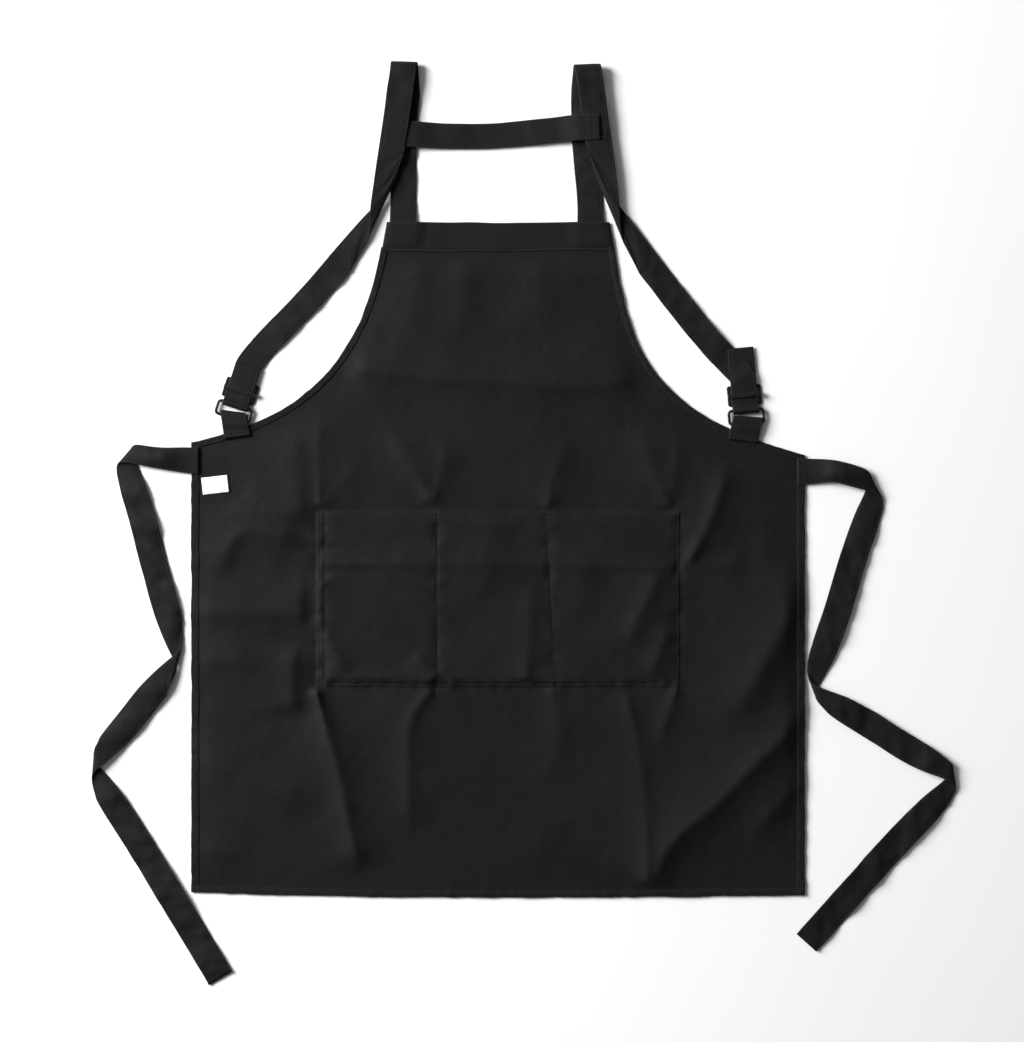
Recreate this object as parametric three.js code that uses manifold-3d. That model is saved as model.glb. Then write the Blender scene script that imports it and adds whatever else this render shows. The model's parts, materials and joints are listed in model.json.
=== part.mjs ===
// A bib apron with an H-shaped back, lying flat with its inside up. Millimetres.
// +X is to the right, +Y towards the neck, +Z up. The origin is the middle of the front pocket's outer face,
// which lies on the resting plane z = 0.
import * as THREE from "three";
import { mergeVertices } from "three/addons/utils/BufferGeometryUtils.js";
import Module from "manifold-3d";

const wasm = await Module();
wasm.setup();

// ---- Driving dimensions ----

// Cloth, webbing and thread
const cloth = 0.6; // one ply of twill
const webbing = 1.4; // a strap: the cloth folded in four and stitched
const gap = 0.3; // air between pieces that touch
const threadWidth = 0.5;
const threadHeight = 0.3;
const stitchInset = 2; // from a hem's inner edge to its stitch line

// Pocket on the front
const pocketWidth = 416;
const pocketHeight = 200;
const dividerLeftX = -69.5;
const dividerRightX = 61;

// Body panel: bib and skirt in one piece
const bibTop = 433.6; // height of the bib's edge above the middle of the pocket
const bibWidth = 259;
const bodyWidth = 706;
const bottomHemY = -341;
const sideHem = 9;
const bottomHem = 8.5;
const armholeHem = 7.5;
const hemPlies = 3;
const bandHeight = 33;
const bandOverhang = 1; // the band's ends stand this far past the panel's edge

// Straps, sliders and rings
const strapWidth = 30;
const strapTuck = 26; // length of each strap end under the bib band
const topLoopRadius = 4.5;
const barLoopRadius = 3.7;
const crossSag = 3.5; // height of the cross strap's middle
const sliderLength = 23.4;
const sliderSideBar = 3.5;
const sliderEndBar = 3.2;
const sliderMiddleBar = 5;
const sliderBarHeight = 1.6;
const sliderSideClearance = 1;
const sliderFromRing = 17; // from the ring's upper bar to the slider's middle bar
const straightenAt = 5; // beyond this distance from the ring the two strap layers lie parallel
const ringWire = 3.4;
const ringSideClearance = 3.1; // beside the strap, at each side
const ringBarSpacing = 15.6;
const ringCorner = 5;
const tabInset = 10; // length of each tab sewn on the armhole hem
const tabBend = 10; // how much of the tab turns in line with the buckle
const tabRise = 2.5; // length over which the tab climbs from the floor onto the hem

// Waist ties
const tieWidth = 31;
const tieFoldRadius = 2.5;
const tieAnchorLength = 10;
const tieFoldLean = 0.1; // slope of the fold line at the hem, so that the whole tie lies outside it

// Care label
const labelWidth = 30;
const labelHeight = 19.5;
const labelThickness = 0.3;
const labelTurn = THREE.MathUtils.degToRad(6.5);
const labelBelowUnderarm = 51;
const labelFromHem = 2.6;

// How each half lies. On the straps, x is measured outwards from the centre line and y from the bib's edge,
// except approach, which is how far a point lies inwards of the buckle's line and how far up it. On the ties,
// both are measured from a corner of the panel: the underarm corner for tieRun and tieCorners, and the bottom
// corner for tieLowerCorner and tieEnd.
const halves = {
  left: {
    outward: -1,
    underarmDrop: 253.1,
    armholeFlare: [17, 117],
    armholeSweep: [169, 34],
    strapFoot: 109.3,
    strapTop: [107.5, 186],
    shoulder: [115.6, 126.4],
    crossX: 117.5,
    crossAboveTwist: 20.3,
    crossReach: 9,
    crossRise: 0,
    twist: [136.3, 9.2],
    diagonal: [218.5, -89.7],
    approach: [8.6, 71.6],
    tabX: 299.3,
    tabLean: 16.8,
    tabStem: 13,
    buckleLean: 17.9,
    tailLength: 31,
    sliderTravel: 16,
    tailOnTop: true,
    tieRun: [[0, -21]],
    tieCorners: [[75.4, -14.9], [13.9, -249.2]],
    tieLowerCorner: [112.9, 148.5],
    tieEnd: [-33.9, -95.4],
  },
  right: {
    outward: 1,
    underarmDrop: 268,
    armholeFlare: [19.5, 126],
    armholeSweep: [200, 52],
    strapFoot: 106.4,
    strapTop: [102.3, 183],
    shoulder: [111, 125.4],
    crossX: 114,
    crossAboveTwist: 18.2,
    crossReach: 6,
    crossRise: 1,
    twist: [128.8, 13.8],
    diagonal: [204.7, -89.7],
    approach: [32.1, 79],
    tabX: 281.5,
    tabLean: 11.9,
    tabStem: 15.5,
    buckleLean: 5,
    tailLength: 55,
    sliderTravel: 6,
    tailOnTop: false,
    tieRun: [[0, -18.8], [34.6, -19]],
    tieCorners: [[81.7, -35.6], [8.7, -269.1]],
    tieLowerCorner: [172, 135.1],
    tieEnd: [1.8, -54.6],
  },
};

// ---- Heights worked out from the layers ----

const panelBottom = cloth + gap;
const panelTop = panelBottom + cloth;
const hemTop = panelBottom + hemPlies * cloth;
const onPanel = panelTop + gap;
const onHem = hemTop + gap;
const overSeam = onHem + threadHeight + gap; // what crosses a hem's stitches lies above them
const floorLayer = webbing / 2;
const tuckedLayer = onPanel + webbing / 2;
const sewnLayer = overSeam + webbing / 2;
const layerStep = webbing + gap;
const topLayer = floorLayer + 2 * topLoopRadius;
const lowerBuckleLayer = sliderBarHeight + gap + webbing / 2;
const upperBuckleLayer = lowerBuckleLayer + layerStep;
const bandTop = onPanel + webbing + gap + cloth;
const bodyHalf = bodyWidth / 2;
const bibHalf = bibWidth / 2;
const ringCentreZ = webbing + gap + ringWire / 2;
const tabLoopRadius = ringCentreZ - floorLayer;
const ringInnerWidth = strapWidth + 2 * ringSideClearance;

// ---- Materials ----

const clothMaterial = new THREE.MeshStandardMaterial({ color: 0x2b2b2f, roughness: 0.92, metalness: 0 });
const strapMaterial = new THREE.MeshStandardMaterial({ color: 0x2a2a2e, roughness: 0.9, metalness: 0 });
const threadMaterial = new THREE.MeshStandardMaterial({ color: 0x1a1a1d, roughness: 0.7, metalness: 0 });
const labelMaterial = new THREE.MeshStandardMaterial({ color: 0xf2f2f0, roughness: 0.6, metalness: 0 });
const hardwareMaterial = new THREE.MeshStandardMaterial({ color: 0x0b0b0c, roughness: 0.25, metalness: 0 });

// ---- Solids ----

function solidOf(geometry) {
  const bare = new THREE.BufferGeometry();
  const whole = geometry.index ? geometry.toNonIndexed() : geometry;
  bare.setAttribute("position", whole.getAttribute("position"));
  const merged = mergeVertices(bare, 1e-4);
  return new wasm.Manifold(
    new wasm.Mesh({
      numProp: 3,
      vertProperties: merged.attributes.position.array,
      triVerts: new Uint32Array(merged.index.array),
    }),
  );
}

function geometryOf(solid) {
  const mesh = solid.getMesh();
  const geometry = new THREE.BufferGeometry();
  geometry.setAttribute("position", new THREE.BufferAttribute(new Float32Array(mesh.vertProperties), 3));
  geometry.setIndex(new THREE.BufferAttribute(new Uint32Array(mesh.triVerts), 1));
  return geometry;
}

// A flat outline raised from one height to another.
function plate(shape, low, high) {
  const geometry = new THREE.ExtrudeGeometry(shape, {
    depth: high - low,
    bevelEnabled: false,
    curveSegments: 28,
  });
  return geometry.translate(0, 0, low);
}

function shapeOf(points) {
  return new THREE.Shape(points.map(([x, y]) => new THREE.Vector2(x, y)));
}

function box(x0, x1, y0, y1, low, high) {
  return plate(shapeOf([[x0, y0], [x1, y0], [x1, y1], [x0, y1]]), low, high);
}

// ---- Strips that run, slope and fold ----

// One cross-section of a strip: its two edges and the direction its face points.
function station(centre, edge, face) {
  return { left: centre.clone().add(edge), right: centre.clone().sub(edge), face };
}

// A closed solid through a row of stations.
function loft(stations, thickness) {
  const positions = [];
  for (const { left, right, face } of stations) {
    const offset = face.clone().multiplyScalar(thickness / 2);
    const corners = [left, right, right, left].map((edge, i) =>
      edge.clone().addScaledVector(offset, i < 2 ? 1 : -1),
    );
    corners.forEach((corner) => positions.push(corner.x, corner.y, corner.z));
  }
  const index = [];
  const quad = (a, b, c, d) => index.push(a, b, c, a, c, d);
  for (let i = 0; i + 1 < stations.length; i++) {
    for (let side = 0; side < 4; side++) {
      const next = (side + 1) % 4;
      quad(4 * i + side, 4 * i + next, 4 * i + 4 + next, 4 * i + 4 + side);
    }
  }
  const last = 4 * (stations.length - 1);
  quad(3, 2, 1, 0);
  quad(last, last + 1, last + 2, last + 3);
  const geometry = new THREE.BufferGeometry();
  geometry.setAttribute("position", new THREE.Float32BufferAttribute(positions, 3));
  geometry.setIndex(index);
  return geometry;
}

const flat = (v) => new THREE.Vector3(v.x, v.y, 0).normalize();
const leftOf = (direction) => new THREE.Vector3(-direction.y, direction.x, 0);

// The plan of a fold: where two runs meet, their shared fold line, and how far it is from the sharp corner to
// the line where each run starts to curve.
function foldBetween(before, after) {
  const corner = before.at(-1);
  const radius = Math.abs(corner.z - after[0].z) / 2;
  const arriving = flat(corner.clone().sub(before.at(-2)));
  const leaving = flat(after[1].clone().sub(after[0]));
  const sum = arriving.clone().add(leaving);
  const line = sum.length() < 1e-3 ? leftOf(arriving) : sum.normalize();
  const outward = arriving.clone().addScaledVector(line, -arriving.dot(line)).normalize();
  const sine = arriving.dot(outward);
  const setback = (Math.PI / 2) * radius;
  return {
    corner: corner.clone(),
    leavingHeight: after[0].z,
    radius,
    line,
    outward,
    slant: arriving.dot(line) / sine,
    setback,
    trim: setback / sine,
    arriving,
    leaving,
  };
}

// Stations round a fold, on a cylinder along the fold line.
function roundFold(fold, halfWidth, side) {
  const onTop = fold.corner.z > fold.leavingHeight ? 1 : -1;
  const middle = (fold.corner.z + fold.leavingHeight) / 2;
  const edge = fold.line.clone().multiplyScalar((side * halfWidth) / fold.line.dot(leftOf(fold.arriving)));
  const steps = 8;
  const stations = [];
  for (let i = 1; i < steps; i++) {
    const turn = (Math.PI * i) / steps;
    const reach = -fold.setback + fold.radius * Math.sin(turn);
    const slide = (-fold.setback + fold.radius * turn) * fold.slant;
    const centre = fold.corner.clone().setZ(middle + onTop * fold.radius * Math.cos(turn));
    centre.addScaledVector(fold.line, slide).addScaledVector(fold.outward, reach);
    const face = fold.outward.clone().multiplyScalar(Math.sin(turn));
    face.z = onTop * Math.cos(turn);
    stations.push(station(centre, edge, face.multiplyScalar(side * onTop)));
  }
  return stations;
}

// How far a cross-section that lies along a given line leans off square, as a slope.
function leanOf(line, direction) {
  return line ? line.dot(direction) / line.dot(leftOf(direction)) : 0;
}

// Stations along one run between two folds or ends.
function alongRun(points, halfWidth, side, startLine, endLine) {
  const plan = points.map((p) => new THREE.Vector3(p.x, p.y, 0));
  const curve = new THREE.CatmullRomCurve3(plan, false, "centripetal");
  const spans = points.length - 1;
  const samples = [];
  let travelled = 0;
  for (let i = 0; i < spans; i++) {
    const pieces = Math.max(2, Math.ceil(points[i].distanceTo(points[i + 1]) / 14));
    for (let j = i === 0 ? 0 : 1; j <= pieces; j++) {
      const share = j / pieces;
      const ease = share * share * (3 - 2 * share);
      const at = Math.min((i + share) / spans, 1);
      const centre = curve.getPoint(at).setZ(points[i].z + (points[i + 1].z - points[i].z) * ease);
      const previous = samples.at(-1);
      travelled += previous ? previous.centre.distanceTo(centre) : 0;
      samples.push({ centre, direction: flat(curve.getTangent(at)), travelled });
    }
  }
  const startLean = leanOf(startLine, samples[0].direction);
  const endLean = leanOf(endLine, samples.at(-1).direction);
  const fade = (lean, distance) => {
    const reach = 1.25 * halfWidth * Math.abs(lean);
    return reach > 0 ? lean * Math.max(0, 1 - distance / reach) : 0;
  };
  return samples.map(({ centre, direction, travelled: distance }) => {
    const lean = fade(startLean, distance) + fade(endLean, travelled - distance);
    const edge = leftOf(direction).addScaledVector(direction, lean).multiplyScalar(side * halfWidth);
    return station(centre, edge, new THREE.Vector3(0, 0, side));
  });
}

// A strip of cloth through a list of runs. Each run is a list of points, and two runs that follow each other
// share a corner, where the strip folds over.
function strip(runs, width, thickness, startLine, endLine) {
  const halfWidth = width / 2;
  const stations = [];
  const folds = runs.slice(1).map((run, i) => foldBetween(runs[i], run));
  let side = 1;
  runs.forEach((run, i) => {
    const points = run.map((p) => p.clone());
    const before = folds[i - 1];
    const after = folds[i];
    if (before) points[0].addScaledVector(before.leaving, before.trim);
    if (after) points.at(-1).addScaledVector(after.arriving, -after.trim);
    stations.push(...alongRun(points, halfWidth, side, before?.line ?? startLine, after?.line ?? endLine));
    if (after) {
      stations.push(...roundFold(after, halfWidth, side));
      side = -side;
    }
  });
  return loft(stations, thickness);
}

// ---- The body panel and what is sewn on it ----

function underarm(half) {
  return new THREE.Vector2(half.outward * bodyHalf, bibTop - half.underarmDrop);
}

// The armhole's edge, from the bib's corner down to the underarm corner.
function armholeCurve(half) {
  const corner = underarm(half);
  const [flareX, flareY] = half.armholeFlare;
  const [sweepX, sweepY] = half.armholeSweep;
  return new THREE.CubicBezierCurve(
    new THREE.Vector2(half.outward * bibHalf, bibTop),
    new THREE.Vector2(half.outward * (bibHalf + flareX), bibTop - flareY),
    new THREE.Vector2(corner.x - half.outward * sweepX, corner.y + sweepY),
    corner,
  );
}

// The armhole's edge moved into the cloth by a distance.
function armholeInset(half, distance, from = 0, to = 1) {
  const curve = armholeCurve(half);
  const steps = 24;
  return Array.from({ length: steps + 1 }, (_, i) => {
    const at = from + ((to - from) * i) / steps;
    const tangent = curve.getTangent(at);
    const inward = new THREE.Vector2(tangent.y, -tangent.x).multiplyScalar(half.outward * distance);
    return curve.getPoint(at).add(inward);
  });
}

function panelOutline() {
  const shape = new THREE.Shape();
  const left = armholeCurve(halves.left);
  const right = armholeCurve(halves.right);
  shape.moveTo(-bodyHalf, bottomHemY);
  shape.lineTo(bodyHalf, bottomHemY);
  shape.lineTo(right.v3.x, right.v3.y);
  shape.bezierCurveTo(right.v2.x, right.v2.y, right.v1.x, right.v1.y, right.v0.x, right.v0.y);
  shape.lineTo(left.v0.x, left.v0.y);
  shape.bezierCurveTo(left.v1.x, left.v1.y, left.v2.x, left.v2.y, left.v3.x, left.v3.y);
  return shape;
}

// Every place where the panel's edge is turned in twice, as one solid that reaches past the outline.
function hemZones() {
  const past = 20;
  const low = panelBottom;
  const bandFoot = bibTop - bandHeight - gap;
  const reach = bodyHalf + past;
  let zones = solidOf(box(-reach, reach, bottomHemY - past, bottomHemY + bottomHem, low, hemTop));
  for (const half of Object.values(halves)) {
    const corner = underarm(half);
    const inner = corner.x - half.outward * sideHem;
    const outer = corner.x + half.outward * past;
    const across = [Math.min(inner, outer), Math.max(inner, outer)];
    zones = zones.add(solidOf(box(...across, bottomHemY - past, corner.y + past, low, hemTop)));
    const ribbon = [...armholeInset(half, -past), ...armholeInset(half, armholeHem).reverse()];
    const outline = ribbon.map((p) => [p.x, p.y]);
    if (half.outward > 0) outline.reverse();
    zones = zones.add(solidOf(plate(shapeOf(outline), low, hemTop)));
  }
  const underBand = box(-bodyHalf, bodyHalf, bandFoot, bibTop + past, low - 1, hemTop + 1);
  return zones.subtract(solidOf(underBand));
}

function bodyPanel() {
  const outline = panelOutline();
  const hems = solidOf(plate(outline, panelBottom, hemTop)).intersect(hemZones());
  return geometryOf(solidOf(plate(outline, panelBottom, panelTop)).add(hems));
}

function pocketPanel() {
  const halfWidth = pocketWidth / 2;
  const halfHeight = pocketHeight / 2;
  return box(-halfWidth, halfWidth, -halfHeight, halfHeight, 0, cloth);
}

// The band lies on the bib's top edge and is hollowed where the two strap ends are tucked in.
function bibBand() {
  const half = bibHalf + bandOverhang;
  let band = solidOf(box(-half, half, bibTop - bandHeight, bibTop, onPanel, bandTop));
  for (const { outward, strapFoot } of Object.values(halves)) {
    const centre = outward * strapFoot;
    const reach = strapWidth / 2 + 2 * gap;
    const foot = bibTop - strapTuck - 2 * gap;
    const slot = box(centre - reach, centre + reach, foot, bibTop + 1, onPanel - 1, bandTop - cloth);
    band = band.subtract(solidOf(slot));
  }
  return geometryOf(band);
}

function careLabel() {
  const geometry = box(0, labelWidth, -labelHeight, 0, onPanel, onPanel + labelThickness);
  return geometry.rotateZ(labelTurn).translate(labelEdge.x, labelEdge.y, 0);
}

const labelEdge = new THREE.Vector2(
  -bodyHalf + sideHem + labelFromHem,
  underarm(halves.left).y - labelBelowUnderarm + labelHeight / 2,
);

// ---- Buckles ----

// The straight line on which a ring and its slider lie: where it starts, at the ring's upper bar, and which
// way it runs. The tab reaches far enough for its whole width to clear the armhole's slanting edge.
function buckleLine(half) {
  const { foot, edge } = tabFoot(half);
  const lean = THREE.MathUtils.degToRad(half.buckleLean);
  const up = new THREE.Vector3(-half.outward * Math.sin(lean), Math.cos(lean), 0);
  const slope = Math.abs(edge.dot(up) / edge.dot(leftOf(up)));
  const reach = half.tabStem + (slope * strapWidth) / 2;
  const tabLean = THREE.MathUtils.degToRad(half.tabLean);
  const lowerBar = foot.clone();
  lowerBar.x += half.outward * reach * Math.sin(tabLean);
  lowerBar.y += reach * Math.cos(tabLean);
  const upperBar = lowerBar.clone().addScaledVector(up, ringBarSpacing);
  return { foot, lowerBar, upperBar, up };
}

// The sewn end of a ring tab, on the armhole's hem, and the direction of the edge there.
function tabFoot(half) {
  const curve = armholeCurve(half);
  let low = 0;
  let high = 1;
  for (let i = 0; i < 40; i++) {
    const middle = (low + high) / 2;
    if (Math.abs(curve.getPoint(middle).x) < half.tabX) low = middle;
    else high = middle;
  }
  const foot = new THREE.Vector3(half.outward * half.tabX, curve.getPoint(low).y - tabInset, 0);
  return { foot, edge: flat(curve.getTangent(low)) };
}

function along(line, distance, height) {
  return line.upperBar.clone().addScaledVector(line.up, distance).setZ(height);
}

function beside(line, half, [inwards, distance], height) {
  const inward = leftOf(line.up).multiplyScalar(half.outward);
  return along(line, distance, height).addScaledVector(inward, inwards);
}

function turned(geometry, up, centre) {
  const angle = Math.atan2(-up.x, up.y);
  return geometry.rotateZ(angle).translate(centre.x, centre.y, centre.z);
}

// A flat frame with a raised middle bar: both strap layers run over its end bars and under the middle one.
function slider(half) {
  const inner = strapWidth / 2 + sliderSideClearance;
  const outer = inner + sliderSideBar;
  const end = sliderLength / 2;
  const middle = sliderMiddleBar / 2;
  const bridge = upperBuckleLayer + webbing / 2 + gap;
  const top = bridge + sliderBarHeight;
  const frame = shapeOf([[-outer, -end], [outer, -end], [outer, end], [-outer, end]]);
  const window = end - sliderEndBar;
  frame.holes.push(shapeOf([[-inner, -window], [-inner, window], [inner, window], [inner, -window]]));
  let solid = solidOf(plate(frame, 0, sliderBarHeight));
  for (const sideways of [-1, 1]) {
    const across = [sideways * inner, sideways * outer].sort((a, b) => a - b);
    solid = solid.add(solidOf(box(...across, -middle, middle, 0, top)));
  }
  solid = solid.add(solidOf(box(-outer, outer, -middle, middle, bridge, top)));
  const line = buckleLine(half);
  return turned(geometryOf(solid), line.up, along(line, sliderFromRing, 0));
}

// A rectangular ring of round wire with round corners.
function ring(half) {
  const halfWidth = (ringInnerWidth + ringWire) / 2;
  const halfHeight = ringBarSpacing / 2;
  const corners = [[1, 1], [-1, 1], [-1, -1], [1, -1]].map(([sx, sy]) => ({
    centre: new THREE.Vector3(sx * (halfWidth - ringCorner), sy * (halfHeight - ringCorner), 0),
    sx,
    sy,
  }));
  const points = [];
  for (const { centre, sx, sy } of corners) {
    const start = Math.atan2(sx === sy ? 0 : sy, sx === sy ? sx : 0);
    for (let i = 0; i <= 4; i++) {
      const angle = start + (Math.PI / 8) * i;
      const reach = new THREE.Vector3(Math.cos(angle), Math.sin(angle), 0).multiplyScalar(ringCorner);
      points.push(centre.clone().add(reach));
    }
  }
  return ringAlong(points, ringWire / 2, half);
}

// Sweeps a circle round a closed flat loop of points.
function ringAlong(loop, radius, half) {
  const sides = 8;
  const positions = [];
  const index = [];
  const count = loop.length;
  loop.forEach((p, i) => {
    const before = flat(p.clone().sub(loop[(i + count - 1) % count]));
    const after = flat(loop[(i + 1) % count].clone().sub(p));
    const outward = leftOf(before.add(after).normalize()).negate();
    for (let j = 0; j < sides; j++) {
      const angle = (2 * Math.PI * j) / sides;
      const reach = outward.clone().multiplyScalar(radius * Math.cos(angle));
      positions.push(p.x + reach.x, p.y + reach.y, radius * Math.sin(angle));
      const here = i * sides;
      const there = ((i + 1) % count) * sides;
      const next = (j + 1) % sides;
      index.push(here + j, there + j, there + next, here + j, there + next, here + next);
    }
  });
  const geometry = new THREE.BufferGeometry();
  geometry.setAttribute("position", new THREE.Float32BufferAttribute(positions, 3));
  geometry.setIndex(index);
  const line = buckleLine(half);
  const centre = line.lowerBar.clone().addScaledVector(line.up, ringBarSpacing / 2).setZ(ringCentreZ);
  return turned(geometry, line.up, centre);
}

// A short strap folded round the ring's lower bar, both ends sewn on the armhole's hem. Its two layers lie
// apart at the bar and close over the hem.
function ringTab(half) {
  const { foot, lowerBar, up } = buckleLine(half);
  const straight = lowerBar.clone().addScaledVector(up, -1);
  const bend = straight.clone().addScaledVector(up, -tabBend);
  const sweep = new THREE.QuadraticBezierCurve3(foot, bend, straight);
  const corner = lowerBar.clone().addScaledVector(up, (Math.PI / 2) * tabLoopRadius);
  const plan = [...sweep.getPoints(8), corner];
  const low = floorLayer;
  const high = low + 2 * tabLoopRadius;
  const under = plan.map((p) => p.clone().setZ(low));
  const over = plan.map((p) => p.clone().setZ(high)).reverse();
  const across = new THREE.Vector3(1, 0, 0);
  const geometry = strip([under, over], strapWidth, webbing, across, across);
  const position = geometry.getAttribute("position");
  const clear = ringWire / 2 + gap;
  for (let i = 0; i < position.count; i++) {
    const vertex = new THREE.Vector3().fromBufferAttribute(position, i);
    const below = -vertex.clone().sub(lowerBar).dot(up) - clear;
    const share = THREE.MathUtils.smoothstep(below, 0, tabRise);
    const upper = vertex.z > ringCentreZ;
    const lift = upper ? sewnLayer + layerStep - high : sewnLayer - low;
    position.setZ(i, vertex.z + lift * share);
  }
  return geometry;
}

// ---- Straps and ties ----

function fromBib(half, [x, y], height) {
  return new THREE.Vector3(half.outward * x, bibTop + y, height);
}

// One long strap: up from the bib, folded back over the shoulder, down the back with one flat half-twist,
// then through the slider, round the ring and back through the slider as a loose tail.
function shoulderStrap(half) {
  const line = buckleLine(half);
  const clear = sliderFromRing + half.sliderTravel + sliderLength / 2 + 1;
  const tailEnd = sliderFromRing + half.tailLength;
  const loopCorner = -(Math.PI / 2) * barLoopRadius;
  const ringLow = floorLayer;
  const ringHigh = floorLayer + 2 * barLoopRadius;
  const mainLayer = half.tailOnTop ? lowerBuckleLayer : upperBuckleLayer;
  const tailLayer = half.tailOnTop ? upperBuckleLayer : lowerBuckleLayer;
  const mainAtRing = half.tailOnTop ? ringLow : ringHigh;
  const tailAtRing = half.tailOnTop ? ringHigh : ringLow;
  const twistLow = floorLayer + layerStep + gap;
  const [topX] = half.strapTop;
  const front = [
    fromBib(half, [half.strapFoot, -strapTuck], tuckedLayer),
    fromBib(half, [half.strapFoot, 3], tuckedLayer),
    fromBib(half, [half.strapFoot + 0.15 * (topX - half.strapFoot), 28], floorLayer),
    fromBib(half, half.strapTop, floorLayer),
  ];
  const back = [
    fromBib(half, half.strapTop, topLayer),
    fromBib(half, half.shoulder, topLayer),
    fromBib(half, half.twist, topLayer),
  ];
  const down = [
    fromBib(half, half.twist, twistLow),
    fromBib(half, half.diagonal, floorLayer),
    beside(line, half, half.approach, floorLayer),
    along(line, clear + 5, mainLayer),
    along(line, clear, mainLayer),
    along(line, straightenAt, mainLayer),
    along(line, loopCorner, mainAtRing),
  ];
  const tail = [
    along(line, loopCorner, tailAtRing),
    along(line, straightenAt, tailLayer),
    along(line, tailEnd, tailLayer),
  ];
  return strip([front, back, down, tail], strapWidth, webbing);
}

// The middle of a cross strap's end: on the back run, clear above the whole length of its diagonal fold.
function crossEnd(half) {
  const at = (point) => fromBib(half, point, 0);
  const { slant } = foldBetween([at(half.shoulder), at(half.twist)], [at(half.twist), at(half.diagonal)]);
  const foldReach = (Math.abs(slant) * strapWidth) / 2;
  return [half.crossX, half.twist[1] + foldReach + half.crossAboveTwist + strapWidth / 2];
}

// The cross strap hangs between the two back runs: under the left one and over the right one.
function crossStrap() {
  const ends = Object.values(halves).map((half) => {
    const [x, y] = crossEnd(half);
    const height = topLayer + (half.crossRise ? layerStep : -layerStep);
    const inner = x - strapWidth / 2 - 3;
    return [fromBib(half, [x + half.crossReach, y], height), fromBib(half, [inner, y], height)];
  });
  const middle = ends[0][1].clone().add(ends[1][1]).multiplyScalar(0.5).setZ(crossSag);
  return strip([[...ends[0], middle, ends[1][1], ends[1][0]]], strapWidth, webbing);
}

// A waist tie's fold line at the hem, and the two lists of points on either side of it.
function tieLayout(half) {
  const corner = underarm(half);
  const from = (y) => ([dx, dy], height) => new THREE.Vector3(corner.x + half.outward * dx, y + dy, height);
  const place = from(corner.y);
  const placeLow = from(bottomHemY);
  const fold = new THREE.Vector3(-half.outward * tieFoldLean, -1, 0).normalize();
  const folded = floorLayer + 2 * tieFoldRadius;
  const [first, second] = half.tieCorners;
  const hinge = place([1, half.tieRun[0][1]], sewnLayer);
  const start = hinge.clone().add(new THREE.Vector3((half.outward * gap) / 2, 0, 0));
  const waypoints = half.tieRun.slice(1).map((point) => place(point, (sewnLayer + folded) / 2));
  const runs = [
    [start, ...waypoints, place(first, folded)],
    [place(first, floorLayer), place(second, floorLayer)],
    [place(second, folded), placeLow(half.tieLowerCorner, folded)],
    [placeLow(half.tieLowerCorner, floorLayer), placeLow(half.tieEnd, floorLayer)],
  ];
  return { fold, hinge, runs };
}

function waistTie(half) {
  const { fold, runs } = tieLayout(half);
  return strip(runs, tieWidth, webbing, fold);
}

function tieAnchor(half) {
  const { fold, hinge } = tieLayout(half);
  const inward = new THREE.Vector3(-half.outward, 0, 0);
  const outer = hinge.clone().addScaledVector(inward, gap / 2);
  const inner = outer.clone().addScaledVector(inward, tieAnchorLength);
  return strip([[inner, outer]], tieWidth, webbing, null, fold);
}

// ---- Seams: each is one raised line of thread ----

function curvedSeam(points, height) {
  const run = points.map((p) => new THREE.Vector3(p.x, p.y, height + threadHeight / 2));
  return strip([run], threadWidth, threadHeight);
}

function straightSeam(start, end, height) {
  const course = new THREE.Vector2(end.x - start.x, end.y - start.y);
  const halfWidth = threadWidth / 2;
  const seam = box(-halfWidth, halfWidth, 0, course.length(), height, height + threadHeight);
  return turned(seam, course, new THREE.Vector3(start.x, start.y, 0));
}

function seamBox(centre, width, height, up, low) {
  const outer = (grow) => [[-1, -1], [1, -1], [1, 1], [-1, 1]].map(([sx, sy]) => [
    sx * (width / 2 - grow),
    sy * (height / 2 - grow),
  ]);
  const frame = shapeOf(outer(0));
  frame.holes.push(shapeOf(outer(threadWidth).reverse()));
  return turned(plate(frame, 0, threadHeight), up, centre.clone().setZ(low));
}

function sideSeam(half) {
  const x = half.outward * (bodyHalf - sideHem + stitchInset);
  const foot = { x, y: bottomHemY + bottomHem + 1 };
  return straightSeam(foot, { x, y: underarm(half).y - armholeHem - 3 }, onHem);
}

function armholeSeam(half) {
  return curvedSeam(armholeInset(half, armholeHem - stitchInset, 0.13, 0.95), onHem);
}

function bottomSeam() {
  const reach = bodyHalf - sideHem - 1;
  const y = bottomHemY + bottomHem - stitchInset;
  return straightSeam({ x: -reach, y }, { x: reach, y }, onHem);
}

function bandSeam() {
  const reach = bibHalf - 1;
  const y = bibTop - bandHeight + stitchInset;
  return straightSeam({ x: -reach, y }, { x: reach, y }, bandTop + gap);
}

// The pocket's edge is sewn down its two sides and along its bottom.
function pocketSeam() {
  const outerX = pocketWidth / 2 - stitchInset;
  const innerX = outerX - threadWidth;
  const top = pocketHeight / 2;
  const outerY = -top + stitchInset;
  const innerY = outerY + threadWidth;
  const outline = [[-outerX, top], [-outerX, outerY], [outerX, outerY], [outerX, top],
    [innerX, top], [innerX, innerY], [-innerX, innerY], [-innerX, top]];
  return plate(shapeOf(outline), onPanel, onPanel + threadHeight);
}

function dividerSeam(x) {
  const end = pocketHeight / 2 - stitchInset;
  return straightSeam({ x, y: -end + threadWidth + 1 }, { x, y: end }, onPanel);
}

function tabSeam(half) {
  const { foot, lowerBar } = buckleLine(half);
  const up = flat(lowerBar.clone().sub(foot));
  const centre = foot.clone().addScaledVector(up, 0.5 * tabInset);
  const top = sewnLayer + layerStep + webbing / 2 + gap;
  return seamBox(centre, strapWidth - 8, 0.4 * tabInset, up, top);
}

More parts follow.
